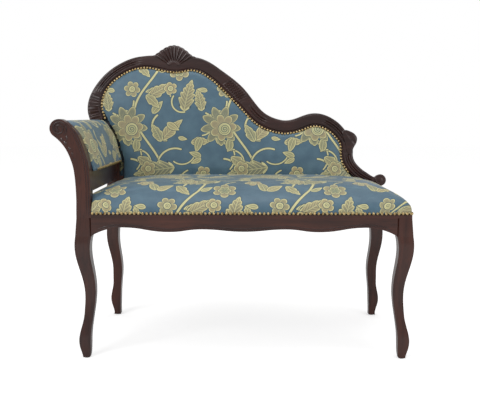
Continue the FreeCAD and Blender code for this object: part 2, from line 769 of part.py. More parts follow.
def carve_shell(body):
    """The fan shell on the crown of the arch: a proud blank with flutes from its focus."""
    rim = chain([(across(x), up(v), angle) for x, v, angle in SHELL_SHAPE])
    under = [(across(x), up(v)) for x, v in [(-176, 447), (-205, 432), (-259, 432), (-292, 447)]]
    blank = new_sketch(body, "XZ", "shell_outline", -S["shell_proud"])
    curves_into(blank, outline_curves(rim, *under))
    pad(body, blank, "shell", S["shell_proud"] + S["back_thick"])
    doc.recompute()
    before = body.Shape.Volume
    focus_x, focus_v = across(SHELL_FOCUS[0]), up(SHELL_FOCUS[1])
    inner_end, outer_end = 16.0, up(SHELL_SHAPE[2][1]) - focus_v + 4.0
    step = S["shell_spread"] / (S["shell_flutes"] - 1.0)
    half_width = outer_end * math.tan(math.radians(step.value / 2.0)) * 0.86
    flute = body.newObject("Sketcher::SketchObject", "flute_section")
    support = [f for f in body.Origin.OriginFeatures if f.Role == "XZ_Plane"][0]
    flute.AttachmentSupport = (support, [""])
    flute.MapMode = "FlatFace"
    first_turn = Rotation(Vector(0, 0, 1), -S["shell_spread"].value / 2.0)
    flute.AttachmentOffset = Placement(Vector(focus_x, focus_v, S["shell_proud"].value), first_turn)
    polygon(flute, [(0.0, inner_end), (half_width, outer_end), (0.0, outer_end)])
    hollow = body.newObject("PartDesign::Groove", "flute")
    hollow.Profile = flute
    hollow.ReferenceAxis = (flute, ["V_Axis"])
    hollow.Angle = 360.0
    body.Tip = hollow
    doc.recompute()
    fan = body.newObject("PartDesign::PolarPattern", "flutes")
    fan.Originals = [hollow]
    fan.Axis = (flute, ["N_Axis"])
    fan.setExpression("Angle", "Sizes.shell_spread")
    fan.setExpression("Occurrences", "Sizes.shell_flutes")
    body.Tip = fan
    doc.recompute()
    if body.Shape.Volume > before - 1.0:
        sys.exit("the shell's flutes cut nothing")


HEEL = [(-461.5, 262), (-461.5, 249), (-486, 249), (-499, 260), (-511, 264)]


def make_crest_rail():
    body = new_back_body("crest_rail_blank")
    rail_blank(body, CREST_SHAPE, CREST_SHAPE, [(across(x), up(v)) for x, v in HEEL])
    hidden = new_sketch(body, "XZ", "heel_outline", S["pad_rebate"])
    curves_into(hidden, outline_curves(*[(across(x), up(v)) for x, v in [
        (-446.5, 249), (-450, 290), (-470, 300), (-470, 249)]]))
    pad(body, hidden, "heel", S["back_thick"] - S["pad_rebate"])
    groove(body, "outer_groove", CREST_SHAPE, S["outer_groove_inset"])
    groove(body, "inner_groove", CREST_SHAPE, S["inner_groove_inset"])
    carve_shell(body)
    keep("crest_rail", body)


KNUCKLE = [(322, 229, -48), (345, 219, -14), (368, 196, -84), (356, 162, -106), (345, 140, -92)]
SWEEP_FOOT = [(326, 37), (326, 84), (352, 84), (412, 52), (432, 52), (432, 37)]


def make_sweep_rail():
    body = new_back_body("sweep_rail_blank")
    rail_blank(body, LOW_SHAPE, LOW_SHAPE[:-1], [])
    groove(body, "outer_groove", LOW_SHAPE, S["outer_groove_inset"])
    groove(body, "inner_groove", LOW_SHAPE, S["inner_groove_inset"])
    knuckle = new_sketch(body, "XZ", "knuckle_outline", -2.0)
    bump = chain([(across(x), up(v), angle) for x, v, angle in KNUCKLE])
    curves_into(knuckle, outline_curves(bump, (across(328), up(170)), (across(322), up(205))))
    pad(body, knuckle, "knuckle", S["back_thick"] + 2.0)
    scroll = new_sketch(body, "XZ", "terminal_outline", -3.0)
    circle(scroll, terminal_x, up(62), S["terminal_radius"])
    pad(body, scroll, "terminal", S["back_thick"] + 3.0)
    foot = new_sketch(body, "XZ", "foot_outline", S["pad_rebate"])
    curves_into(foot, outline_curves(*[(across(x), up(v)) for x, v in SWEEP_FOOT]))
    pad(body, foot, "foot", S["back_thick"] - S["pad_rebate"])
    keep("sweep_rail", body)


LOWER_RAIL = (37, 76)


def make_lower_back_rail():
    body = new_back_body("lower_back_rail_blank")
    shape = new_sketch(body, "XZ", "rail_outline", S["pad_rebate"])
    left, right = S["fit_gap"].value - rear_inner.value, across(SWEEP_FOOT[0][0])
    low, high = up(LOWER_RAIL[0]), up(LOWER_RAIL[1])
    curves_into(shape, outline_curves((left, low), (right, low), (right, high), (left, high)))
    pad(body, shape, "rail", S["back_thick"] - S["pad_rebate"])
    keep("lower_back_rail", body)


# Arm rails

def make_arm_lower_rail():
    body = new_body("arm_lower_rail_blank")
    outer = -leg_inner - S["arm_rail_thick"]
    shape = new_sketch(body, "YZ", "rail_outline", outer)
    polygon(shape, [(S["leg_depth"], arm_rail_foot),
                    (raked_y(arm_rail_foot, STILE_SET_BACK), arm_rail_foot),
                    (raked_y(arm_rail_top, STILE_SET_BACK), arm_rail_top),
                    (S["leg_depth"], arm_rail_top)])
    pad(body, shape, "rail", S["arm_rail_thick"])
    keep("arm_lower_rail", body)


def make_arm_roll_rail():
    body = new_body("arm_roll_rail_blank")
    shape = new_sketch(body, "XZ", "rail_section", S["leg_depth"])
    circle(shape, scroll_x, scroll_z, S["roll_rail_radius"])
    far_end = raked_y(scroll_z - S["roll_rail_radius"], STILE_SET_BACK)
    pad(body, shape, "rail", far_end - S["leg_depth"])
    keep("arm_roll_rail", body)


# Soft parts

SEAT_SHAPE = [(0, -1.5, 0.0, 5), (12, -3.0, 0.0, 6), (26, 1.5, 0.0, 8), (41, 15.0, 0.5, 22),
              (56, 40.0, 1.5, 48), (67, 76.0, 4.0, 74), (73, 118.0, 14.0, 84), (76, 165.0, 46.0, 70)]
CORNER_FLATS = 5


def seat_section(body, name, height, front_inset, back_inset, radius, inside):
    """A level section of the crowned seat: four sides whose corners turn in short flats."""
    sketch = new_sketch(body, "XY", name, S["nail_line"] + grown("seat_crown", height) - inside)
    x = side_face.value - front_inset - inside
    near, far = front_inset + inside, S["seat_back_y"].value - back_inset - inside
    centres = [(x - radius, near + radius), (x - radius, far - radius),
               (radius - x, far - radius), (radius - x, near + radius)]
    points = []
    for quarter, (cx, cy) in enumerate(centres, start=-1):
        for flat in range(CORNER_FLATS + 1):
            spoke = heading_vector(90.0 * (quarter + flat / CORNER_FLATS)) * radius
            points.append((cx + spoke.x, cy + spoke.y))
    curves_into(sketch, outline_curves(*points))
    return sketch


def crowned_seat(name, inside):
    body = new_body(name)
    sections = [seat_section(body, "seat_section_%d" % row[0], row[0], row[1], row[2], row[3], inside)
                for row in SEAT_SHAPE]
    loft(body, "crown", sections, True)
    return body


def notch_seat(body, clearance):
    """Room for the arm post and the two rear legs that pass the seat's corners."""
    notches = new_sketch(body, "XY", "notch_outlines", S["nail_line"] - 20.0)
    wide = S["seat_half"] + S["past"]
    post_x, post_y = leg_inner - clearance, S["leg_depth"] + clearance
    rear_x, rear_y = rear_inner - clearance, S["rear_leg_y"] - clearance
    far, near = S["seat_back_y"] + S["past"], -S["past"]
    polygon(notches, [(-wide, near), (-post_x, near), (-post_x, post_y), (-wide, post_y)])
    polygon(notches, [(-wide, rear_y), (-rear_x, rear_y), (-rear_x, far), (-wide, far)])
    polygon(notches, [(rear_x, rear_y), (wide, rear_y), (wide, far), (rear_x, far)])
    pocket(body, notches, "notches", S["seat_crown"] + S["past"])


def deck_top():
    return rail_top + S["webbing_thick"] * 2.0 + S["cloth_thick"]


def make_seat_foam():
    body = crowned_seat("seat_foam_blank", S["cover_thick"].value + S["fit_gap"].value)
    notch_seat(body, S["fit_gap"] * 2.0)
    below = new_sketch(body, "XY", "deck_outline", S["nail_line"] - S["past"])
    wide, deep, near = S["seat_half"] + S["past"], S["seat_back_y"] + S["past"], -S["past"]
    polygon(below, [(-wide, near), (wide, near), (wide, deep), (-wide, deep)])
    pocket(body, below, "flat_underside", deck_top() + S["fit_gap"] - S["nail_line"] + S["past"])
    keep("seat_foam", body)


def make_seat_cover():
    """The cover with its wadding: a shell over the foam whose skirt hangs over the rails."""
    body = crowned_seat("seat_cover_blank", 0.0)
    notch_seat(body, S["fit_gap"] * 2.0)
    under = new_sketch(body, "XY", "frame_outline", S["nail_line"] - S["past"])
    wide, deep = side_face - S["cover_rebate"] + S["fit_gap"], S["seat_back_y"] + S["past"]
    near = S["cover_rebate"] - S["fit_gap"]
    polygon(under, [(-wide, near), (wide, near), (wide, deep), (-wide, deep)])
    pocket(body, under, "room_for_frame", S["tacking_rise"] + S["fit_gap"] + S["past"])
    doc.recompute()
    room = crowned_seat("seat_cover_hollow", S["cover_thick"].value)
    hollow = new_sketch(room, "XY", "lower_part", S["nail_line"] - S["past"])
    far, near = S["seat_half"] + S["past"], -S["past"]
    polygon(hollow, [(-far, near), (far, near), (far, far), (-far, far)])
    pocket(room, hollow, "open_below", S["tacking_rise"] - 1.0 + S["past"])
    shell = doc.addObject("Part::Cut", "seat_cover_shell")
    shell.Base = body
    shell.Tool = room
    keep("seat_cover", shell)


ARM_PLANE = [(-416, 116, 91), (-426, 156, 104), (-441, 198, 119), (-466, 220, 138)]
ARM_FACE = [(-401.5, 116, 91), (-408, 146, 106), (-430, 211, 119), (-452, 244, 132)]
ARM_UNDER = [(-430, 160, -76), (-417, 116, -90)]
ARM_SECTIONS = [(0.0, 0.45, 19.0), (0.03, 0.75, 20.6), (0.09, 0.95, 21.4), (0.6, 1.0, 21.6)]
REAR_ARM_SECTION = (1.0, 0.98, 21.5)


def arm_section(body, name, share, fullness, roll, length):
    """A section of the arm pad: up the inside face, over the roll and back under it."""
    cx, cz = scroll_x.value, scroll_z.value
    nodes = []
    for (ax, az, angle), (bx, bz, other) in zip(ARM_PLANE, ARM_FACE):
        x, z = ax + (bx - ax) * fullness, az + (bz - az) * fullness
        nodes.append((arm_side(x), arm_up(z), angle + (other - angle) * fullness))
    nodes += [(cx, cz + roll, 180), (cx - roll, cz, 270)]
    under = S["roll_rail_radius"].value + S["fit_gap"].value
    back = [(cx - under, cz, 90), (cx, cz + under, 0), (cx + under, cz, -90), (cx + 27.0, cz - 34.0, -62)]
    back += [(arm_side(x), arm_up(z), angle) for x, z, angle in ARM_UNDER]
    place = S["leg_depth"] + S["fit_gap"] + length * share
    if share == 1.0:
        place = S["back_y"] - S["fit_gap"]
    sketch = new_sketch(body, "XZ", name, place)
    if share == 1.0:
        slope, hinge = math.cos(math.radians(S["rake"].value)), S["back_z"].value
        nodes = [(x, (z - hinge) / slope, angle) for x, z, angle in nodes]
        back = [(x, (z - hinge) / slope, angle) for x, z, angle in back]
        lean = Rotation(Vector(1, 0, 0), -S["rake"].value)
        sketch.AttachmentOffset = Placement(Vector(0, hinge, -place.value), lean)
    curves_into(sketch, outline_curves(chain(nodes), chain(back)))
    return sketch


def make_arm_pad():
    body = new_body("arm_pad_blank")
    length = S["back_y"] - S["leg_depth"]
    sections = [arm_section(body, "pad_section_%d" % index, share, fullness, roll, length)
                for index, (share, fullness, roll) in enumerate(ARM_SECTIONS + [REAR_ARM_SECTION])]
    loft(body, "pad", sections, True)
    keep("arm_pad", body)


ARM_PANEL = [(-443, 95, 90), (-449, 134, 105), (-470, 178, 121), (-506, 216, 136)]


def make_arm_outside_panel():
    body = new_body("arm_outside_panel_blank")
    outer = chain([(arm_side(x), arm_up(z), angle) for x, z, angle in ARM_PANEL])
    inner = beside(outer, -S["panel_thick"].value)
    shape = new_sketch(body, "XZ", "panel_section", S["leg_depth"] + S["fit_gap"])
    curves_into(shape, outline_curves(outer, reversed_chain(inner)))
    pad(body, shape, "panel", S["back_y"] - S["leg_depth"] + 10.0)
    keep("arm_outside_panel", body)


SEAM = [(-400, 46, 90), (-401, 118, 90), (-406, 147, 106), (-428, 211, 118), (-445.5, 243, 125)]


def pad_outline(inset):
    """The opening of the back: the arm's seam up the left, the rail's inner edge, a level foot."""
    seam = beside(chain([(across(x), up(v), angle) for x, v, angle in SEAM]), -inset)
    rail = beside(rail_edge(-1, PAD_RAIL_SHAPE), -inset)
    low = up(SEAM[0][1]) + inset / 2.0
    seam[0] = (Vector(seam[0][0].x, low, 0),
               (Vector(seam[0][0].x, low, 0) + seam[0][2]) / 2.0, seam[0][2], Vector(0, 1, 0), 0.0)
    corner, along = rail[-1][2], end_direction(rail[-1])
    reach = (low - corner.y) / along.y
    return outline_curves(seam, rail, (corner.x + along.x * reach, low))


PAD_SHAPE = [(0.0, 1.0), (0.36, 2.5), (0.64, 7.5), (0.86, 18.0), (1.0, 34.0)]


def make_back_pad():
    body = new_back_body("back_pad_blank")
    base = S["pad_rebate"] - S["webbing_thick"] - S["cloth_thick"] - S["fit_gap"]
    sections = []
    for share, inset in PAD_SHAPE:
        offset = base - (base + S["back_crown"]) * share
        sketch = new_sketch(body, "XZ", "pad_section_%d" % inset, offset)
        curves_into(sketch, pad_outline(inset))
        sections.append(sketch)
    loft(body, "pad", sections, True)
    keep("back_pad", body)


def make_back_deck():
    body = new_back_body("back_deck_blank")
    front = S["pad_rebate"] - S["webbing_thick"] - S["cloth_thick"]
    shape = new_sketch(body, "XZ", "deck_outline", front)
    curves_into(shape, pad_outline(3.0))
    pad(body, shape, "deck", S["cloth_thick"])
    keep("back_deck_cloth", body)


def make_back_webbing():
    """Upright straps across the opening: the opening's outline with the gaps cut out."""
    body = new_back_body("back_webbing_blank")
    body.AllowCompound = True
    shape = new_sketch(body, "XZ", "webbing_outline", S["pad_rebate"] - S["webbing_thick"])
    curves_into(shape, pad_outline(3.5))
    pad(body, shape, "webbing", S["webbing_thick"])
    doc.recompute()
    pitch = across(400) / 4.5
    gap = pitch - S["webbing_width"].value
    start = across(-400) - gap + 28.0
    top = S["back_rise"].value
    gaps = new_sketch(body, "XZ", "gap_outlines", S["pad_rebate"] - S["webbing_thick"] - 1.0)
    for index in range(10):
        left = start + pitch * index
        polygon(gaps, [(left, 0.0), (left + gap, 0.0), (left + gap, top), (left, top)])
    pocket(body, gaps, "gaps", S["webbing_thick"] + 2.0)
    keep("back_webbing", body)


def make_outside_back_panel():
    body = new_back_body("outside_back_panel_blank")
    overlap = 14.0
    rail = beside(rail_edge(-1, PAD_RAIL_SHAPE), overlap)
    corners = [(across(x), up(v)) for x, v in [(405, 50), (405, 42), (-430, 42), (-430, 150),
                                              (-444, 205), (-470, 245), (-481, 262)]]
    shape = new_sketch(body, "XZ", "panel_outline", S["back_thick"])
    curves_into(shape, outline_curves(rail, *corners))
    pad(body, shape, "panel", S["panel_thick"])
    keep("outside_back_panel", body)


# Inside the seat

def straps(name, level, low, high, count, span, plane_axis):
    """Equal straps spread over a span, by a linear pattern of the first one."""
    body = new_body(name + "_blank")
    body.AllowCompound = True
    first = new_sketch(body, "XY", "strap_outline", level)
    if plane_axis == "H_Axis":
        corners = [(span[0], low), (span[0] + S["webbing_width"], low),
                   (span[0] + S["webbing_width"], high), (span[0], high)]
    else:
        corners = [(low, span[0]), (high, span[0]), (high, span[0] + S["webbing_width"]),
                   (low, span[0] + S["webbing_width"])]
    polygon(first, corners)
    strap = pad(body, first, "strap", S["webbing_thick"])
    doc.recompute()
    row = body.newObject("PartDesign::LinearPattern", "straps")
    row.Originals = [strap]
    row.Direction = (first, [plane_axis])
    bind(row, "Length", span[1] - S["webbing_width"] - span[0])
    bind(row, "Occurrences", count)
    body.Tip = row
    keep(name, body)


def make_webbing():
    reach = leg_inner - 14.0
    straps("seat_webbing_front_to_back", rail_top, S["cover_rebate"] + 5.0, S["seat_back_y"] - 8.0,
           S["long_straps"], (-reach, reach), "H_Axis")
    side = side_face - S["cover_rebate"] - 9.0
    straps("seat_webbing_side_to_side", rail_top + S["webbing_thick"], -side, side,
           S["cross_straps"], (S["leg_depth"] + 14.0, S["rear_leg_y"] - 14.0), "V_Axis")


def make_seat_deck():
    body = new_body("seat_deck_cloth_blank")
    shape = new_sketch(body, "XY", "deck_outline", rail_top + S["webbing_thick"] * 2.0)
    side, near, far = leg_inner - 3.0, S["cover_rebate"] + 12.0, S["rear_leg_y"] - 1.0
    polygon(shape, [(-side, near), (side, near), (side, far), (-side, far)])
    pad(body, shape, "deck", S["cloth_thick"])
    keep("seat_deck_cloth", body)


block_top = S["nail_line"] + 2.0
block_foot = block_top - S["block_height"]
rail_inner_x = side_face - S["side_rail_thick"]


def make_corner_block(side, end, name):
    """A three-cornered block glued and screwed into a corner of the seat frame."""
    body = new_body(name + "_blank")
    x, gap = rail_inner_x - S["fit_gap"], S["fit_gap"]
    shape = new_sketch(body, "XY", "block_outline", block_foot)
    if end == "front":
        leg_x, leg_y = leg_inner - gap, S["leg_depth"] + gap
        y = S["rail_thick"] + gap
        corners = [(x, y + S["block_leg"]), (x, leg_y), (leg_x, leg_y), (leg_x, y),
                   (x - S["block_leg"], y)]
    else:
        y = back_rail_y - gap
        corners = [(x, y - S["block_leg"]), (x, y), (x - S["block_leg"], y)]
    polygon(shape, [(cx * side, cy) for cx, cy in corners])
    pad(body, shape, "block", S["block_height"])
    keep(name, body)


def make_brace():
    body = new_body("seat_brace_blank")
    shape = new_sketch(body, "XY", "brace_outline", S["nail_line"] - S["brace_thick"])
    half = S["brace_width"] / 2.0
    polygon(shape, [(-half, S["rail_thick"]), (half, S["rail_thick"]), (half, back_rail_y),
                    (-half, back_rail_y)])
    pad(body, shape, "brace", S["brace_thick"])
    keep("seat_brace", body)


def make_dust_cloth():
    body = new_body("dust_cloth_blank")
    shape = new_sketch(body, "XY", "cloth_outline", block_foot - S["cloth_thick"])
    gap = S["fit_gap"]
    wide, leg_x = rail_inner_x - gap, leg_inner - gap
    near, leg_y, far = S["rail_thick"] + gap, S["leg_depth"] + gap, back_rail_y - gap
    polygon(shape, [(-leg_x, near), (leg_x, near), (leg_x, leg_y), (wide, leg_y), (wide, far),
                    (-wide, far), (-wide, leg_y), (-leg_x, leg_y)])
    pad(body, shape, "cloth", S["cloth_thick"])
    keep("dust_cloth", body)


def make_glides():
    glides = []
    height, set_in, width, front, depth = FRONT_LEG_SHAPE[0]
    front_x = S["seat_half"] - set_in - grown("leg_width", width / 2.0)
    front_y = front + grown("leg_depth", depth / 2.0)
    height, set_in, width, sweep, depth = REAR_LEG_SHAPE[0]
    rear_x = rear_outer - set_in - grown("rear_leg_width", width / 2.0)
    rear_y = S["rear_leg_y"] + S["sabre_sweep"] * sweep + grown("rear_leg_depth", depth / 2.0)
    for x, y in ((-front_x, front_y), (front_x, front_y), (-rear_x, rear_y), (rear_x, rear_y)):
        glide = doc.addObject("Part::Cylinder", "glide")
        bind(glide, "Radius", S["glide_radius"])
        glides.append(set_along(glide, UPRIGHT, (x, y, S["glide_rise"] / 2.0), (0, 0, 1),
                                S["glide_rise"]))
    group = doc.addObject("Part::Compound", "foot_glides_group")
    group.Links = glides
    keep("foot_glides", group)


# Joints of the frame

def place_joints():
    height = S["nail_line"] - 20.0
    front_y, rear_y = S["rail_thick"] / 2.0, S["rear_leg_y"] + 9.0
    side_x = rail_inner_x + S["side_rail_thick"] / 2.0 - 1.0
    left_leg, right_leg = "front_left_leg_post", "front_right_leg"
    for side, front, rear, rail in ((-1, left_leg, "back_left_leg", "left_side_rail"),
                                    (1, right_leg, "back_right_leg", "right_side_rail")):
        name = "dowel_left" if side < 0 else "dowel_right"
        low = height - 14.0
        dowel_joint(name + "_front", UPRIGHT, (leg_inner * side, front_y, height), (1, 0, 0),
                    "front_rail", front)
        dowel_joint(name + "_back", UPRIGHT, (rear_inner * side, rear_y, low), (1, 0, 0),
                    "back_seat_rail", rear)
        dowel_joint(name + "_side_front", UPRIGHT, (side_x * side, S["leg_depth"], low), (0, 1, 0),
                    rail, front)
        dowel_joint(name + "_side_rear", UPRIGHT, (side_x * side, S["rear_leg_y"], low), (0, 1, 0),
                    rail, rear)
    arm_x, arm_z = -leg_inner - S["arm_rail_thick"] / 2.0, arm_rail_foot + S["arm_rail_height"] / 2.0
    dowel_joint("dowel_arm_front", UPRIGHT, (arm_x, S["leg_depth"], arm_z), (0, 1, 0),
                "arm_lower_rail", left_leg)
    dowel_joint("dowel_arm_rear", UPRIGHT, (arm_x, raked_y(arm_z, STILE_SET_BACK), arm_z), (0, 1, 0),
                "arm_lower_rail", "back_left_leg")
    dowel_joint("dowel_roll_front", UPRIGHT, (scroll_x, S["leg_depth"], scroll_z), (0, 1, 0),
                "arm_roll_rail", left_leg)
    middle = S["back_thick"] / 2.0 + 1.0
    heel_x, heel_v = (HEEL[1][0] + HEEL[2][0]) / 2.0, HEEL[1][1]
    dowel_joint("dowel_heel", LEANED, (across(heel_x), middle, up(heel_v)), (0, 0, 1),
                "crest_rail", "back_left_leg")
    x, v, angle, width = SCARF
    along = heading_vector(angle)
    dowel_joint("dowel_crest", LEANED, (across(x), middle, up(v)), (along.x, 0, along.y),
                "crest_rail", "sweep_rail")
    foot_x = (SWEEP_FOOT[3][0] + SWEEP_FOOT[4][0]) / 2.0
    dowel_joint("dowel_sweep_foot", LEANED, (across(foot_x), middle, up(RIGHT_LEG_TOP)), (0, 0, 1),
                "sweep_rail", "back_right_leg")
    low_v = up((LOWER_RAIL[0] + LOWER_RAIL[1]) / 2.0)
    dowel_joint("dowel_lower_left", LEANED, (-rear_inner, middle, low_v), (1, 0, 0),
                "lower_back_rail", "back_left_leg")
    dowel_joint("dowel_lower_right", LEANED, (across(SWEEP_FOOT[0][0]), middle, low_v), (1, 0, 0),
                "lower_back_rail", "sweep_rail")


def place_block_screws():
    height = block_foot + S["block_height"] / 2.0
    x = rail_inner_x - S["fit_gap"]
    deep = 11.0
    for side, hand in ((-1, "left"), (1, "right")):
        block = "corner_block_front_" + hand
        y = S["rail_thick"] + S["fit_gap"]
        screw_joint("screw_front_" + hand + "_side",
                    ((x - deep) * side, y + S["block_leg"] * 0.66, height + 6.0), (side, 0, 0),
                    block, hand + "_side_rail")
        screw_joint("screw_front_" + hand + "_rail",
                    ((x - S["block_leg"] * 0.66) * side, y + deep, height - 6.0), (0, -1, 0),
                    block, "front_rail")
        block = "corner_block_back_" + hand
        y = back_rail_y - S["fit_gap"]
        screw_joint("screw_back_" + hand + "_side",
                    ((x - deep) * side, y - S["block_leg"] * 0.5, height + 6.0), (side, 0, 0),
                    block, hand + "_side_rail")
        screw_joint("screw_back_" + hand + "_rail",
                    ((x - S["block_leg"] * 0.5) * side, y - deep, height - 6.0), (0, 1, 0),
                    block, "back_seat_rail")


def bore_pieces():
    """Cuts the joint holes out of the pieces and gathers the dowels and the screws."""
    for node, rods in joints.items():
        if node in ("dowels", "block_screws"):
            group = doc.addObject("Part::Compound", node + "_group")
            group.Links = rods
            keep(node, group)
            continue
        holes = rods[0]
        if len(rods) > 1:
            holes = doc.addObject("Part::MultiFuse", node + "_holes")
            holes.Shapes = rods
        bored = doc.addObject("Part::Cut", node + "_bored")
        bored.Base = pieces[node]
        bored.Tool = holes
        pieces[node].Label = node + "_blank"
        keep(node, bored)


make_front_rail()
make_side_rail(-1, "left_side_rail")
make_side_rail(1, "right_side_rail")
make_back_seat_rail()
make_front_left_leg_post()
make_front_right_leg()
make_back_left_leg()
make_back_right_leg()
make_crest_rail()
make_sweep_rail()
make_lower_back_rail()
make_arm_lower_rail()
make_arm_roll_rail()
make_seat_foam()
make_seat_cover()
make_arm_pad()
make_arm_outside_panel()
make_back_pad()
make_back_deck()
make_back_webbing()
make_outside_back_panel()
make_webbing()
make_seat_deck()
for hand, side in (("left", -1), ("right", 1)):
    for end in ("front", "back"):
        make_corner_block(side, end, "corner_block_%s_%s" % (end, hand))
make_brace()
make_dust_cloth()
make_glides()
place_joints()
place_block_screws()
bore_pieces()
doc.recompute()

# Every object is checked before anything is written

faults = [thing.Label for thing in doc.Objects
          if "Invalid" in thing.State or "Error" in thing.State]
faults += [node for node, thing in pieces.items()
           if thing.Shape.isNull() or not thing.Shape.isValid() or not thing.Shape.Solids]
if faults:
    sys.exit("these failed: " + ", ".join(faults))

os.makedirs("parts", exist_ok=True)
for node, thing in sorted(pieces.items()):
    thing.Shape.exportStep(os.path.join("parts", node + ".step"))
    print("%-28s %2d solids  %10.1f mm3" % (node, len(thing.Shape.Solids), thing.Shape.Volume))
whole = Part.makeCompound([thing.Shape for thing in pieces.values()]).BoundBox
print("whole: X %.1f to %.1f, Y %.1f to %.1f, Z %.1f to %.1f" % (
    whole.XMin, whole.XMax, whole.YMin, whole.YMax, whole.ZMin, whole.ZMax))
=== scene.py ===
# %% [markdown]
# The look of a small fainting couch, built around its finished frame.
# The frame is fixed: every piece here is made in metres in the same place as the
# frame's own parts, so nothing is fitted afterwards. First the frame comes in, and the
# box of its front rail is kept, to place the other pieces from.

# %% Load the frame
import math
import random
import bmesh
import bpy
from mathutils import Matrix, Vector
from mathutils.geometry import interpolate_bezier


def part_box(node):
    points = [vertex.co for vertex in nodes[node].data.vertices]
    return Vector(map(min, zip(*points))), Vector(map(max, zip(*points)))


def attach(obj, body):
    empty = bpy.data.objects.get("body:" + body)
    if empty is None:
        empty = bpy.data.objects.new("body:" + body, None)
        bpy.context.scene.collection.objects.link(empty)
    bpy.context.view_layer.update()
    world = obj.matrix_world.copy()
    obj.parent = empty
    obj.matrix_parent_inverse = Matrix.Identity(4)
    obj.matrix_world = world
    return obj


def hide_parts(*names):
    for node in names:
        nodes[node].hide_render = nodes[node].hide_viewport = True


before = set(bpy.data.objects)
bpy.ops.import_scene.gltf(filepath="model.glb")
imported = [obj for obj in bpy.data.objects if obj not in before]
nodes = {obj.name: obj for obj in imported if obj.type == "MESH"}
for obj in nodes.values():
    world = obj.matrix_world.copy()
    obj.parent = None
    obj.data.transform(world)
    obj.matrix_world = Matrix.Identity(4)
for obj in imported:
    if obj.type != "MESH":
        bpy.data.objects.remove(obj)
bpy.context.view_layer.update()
scene = bpy.context.scene
BODY = "root"
MM = 0.001
rail_low, rail_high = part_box("front_rail")
MIDDLE_X = (rail_low.x + rail_high.x) / 2.0
FRONT_Y = rail_low.y

# %% [markdown]
# The camera stands where the photograph was taken: a little above the arch, level with
# the middle of the seat and looking slightly down. Its place came from the lines of the
# seat and the feet, and its lens from how much smaller the rear feet look.

# %% Camera
camera_data = bpy.data.cameras.new("camera")
camera_data.lens = 53.55
camera_data.sensor_width = 36.0
camera = bpy.data.objects.new("camera", camera_data)
camera.location = (MIDDLE_X + 0.008, FRONT_Y - 1.910, 0.669)
camera.rotation_euler = (math.radians(83.132), 0.0, math.radians(0.562))
scene.collection.objects.link(camera)
scene.camera = camera
print("camera at", tuple(round(c, 3) for c in camera.location))

# %% [markdown]
# The stage is a pale floor under a white surround. The surround is white only to the
# camera and in reflections, so the light on the couch stays plain, and the floor is a
# little brighter to the camera than its own colour, so it fades into the white while
# it keeps the soft shadow.

# %% Floor and surround
scene.view_settings.view_transform = "Standard"


def node_tree(name):
    """A new material with nodes, and its output node."""
    material = bpy.data.materials.new(name)
    material.use_nodes = True
    tree = material.node_tree
    tree.nodes.clear()
    return material, tree, tree.nodes.new("ShaderNodeOutputMaterial")


floor_mesh = bmesh.new()
bmesh.ops.create_grid(floor_mesh, x_segments=1, y_segments=1, size=14.0)
floor_data = bpy.data.meshes.new("studio_floor")
floor_mesh.to_mesh(floor_data)
floor_mesh.free()
floor = bpy.data.objects.new("studio_floor", floor_data)
scene.collection.objects.link(floor)
floor_material, tree, output = node_tree("studio_floor")
matt = tree.nodes.new("ShaderNodeBsdfDiffuse")
matt.inputs["Color"].default_value = (0.86, 0.86, 0.86, 1.0)
lift = tree.nodes.new("ShaderNodeEmission")
seen = tree.nodes.new("ShaderNodeLightPath")
lift_level = tree.nodes.new("ShaderNodeMath")
lift_level.operation = "MULTIPLY"
lift_level.inputs[1].default_value = 0.52
both = tree.nodes.new("ShaderNodeAddShader")
tree.links.new(seen.outputs["Is Camera Ray"], lift_level.inputs[0])
tree.links.new(lift_level.outputs[0], lift.inputs["Strength"])
tree.links.new(matt.outputs[0], both.inputs[0])
tree.links.new(lift.outputs[0], both.inputs[1])
tree.links.new(both.outputs[0], output.inputs["Surface"])
floor_data.materials.append(floor_material)

world = bpy.data.worlds.new("surround")
scene.world = world
world.use_nodes = True
tree = world.node_tree
tree.nodes.clear()
output = tree.nodes.new("ShaderNodeOutputWorld")
plain = tree.nodes.new("ShaderNodeBackground")
plain.inputs["Strength"].default_value = 0.55
white = tree.nodes.new("ShaderNodeBackground")
white.inputs["Strength"].default_value = 1.0
seen = tree.nodes.new("ShaderNodeLightPath")
direct = tree.nodes.new("ShaderNodeMath")
direct.operation = "MAXIMUM"
blend = tree.nodes.new("ShaderNodeMixShader")
tree.links.new(seen.outputs["Is Camera Ray"], direct.inputs[0])
tree.links.new(seen.outputs["Is Transmission Ray"], direct.inputs[1])
tree.links.new(direct.outputs[0], blend.inputs[0])
tree.links.new(plain.outputs[0], blend.inputs[1])
tree.links.new(white.outputs[0], blend.inputs[2])
tree.links.new(blend.outputs[0], output.inputs["Surface"])
for ground in (plain, white):
    ground.inputs["Color"].default_value = (1.0, 1.0, 1.0, 1.0)
print("stage: floor and surround")

# %% [markdown]
# Three soft boxes light it as a catalogue studio does: a large one high at the left
# that draws the long highlights on the moulding, a weaker one at the right, and a
# shallow one above that shows the crown of the seat.

# %% Lamps
SOFT_BOXES = [("key_light", (-1.9, -2.3, 2.3), 1.5, 36.0), ("fill_light", (2.4, -2.2, 1.5), 1.8, 16.0),
              ("top_light", (0.2, -0.3, 2.9), 1.6, 22.0)]
AIM = Vector((0.0, 0.0, 0.45))
for lamp_name, place, size, watts in SOFT_BOXES:
    lamp_data = bpy.data.lights.new(lamp_name, "AREA")
    lamp_data.shape = "SQUARE"
    lamp_data.size = size
    lamp_data.energy = watts
    lamp = bpy.data.objects.new(lamp_name, lamp_data)
    lamp.location = place
    lamp.rotation_euler = (AIM - Vector(place)).to_track_quat("-Z", "Y").to_euler()
    scene.collection.objects.link(lamp)
print("lamps:", [lamp_name for lamp_name, place, size, watts in SOFT_BOXES])

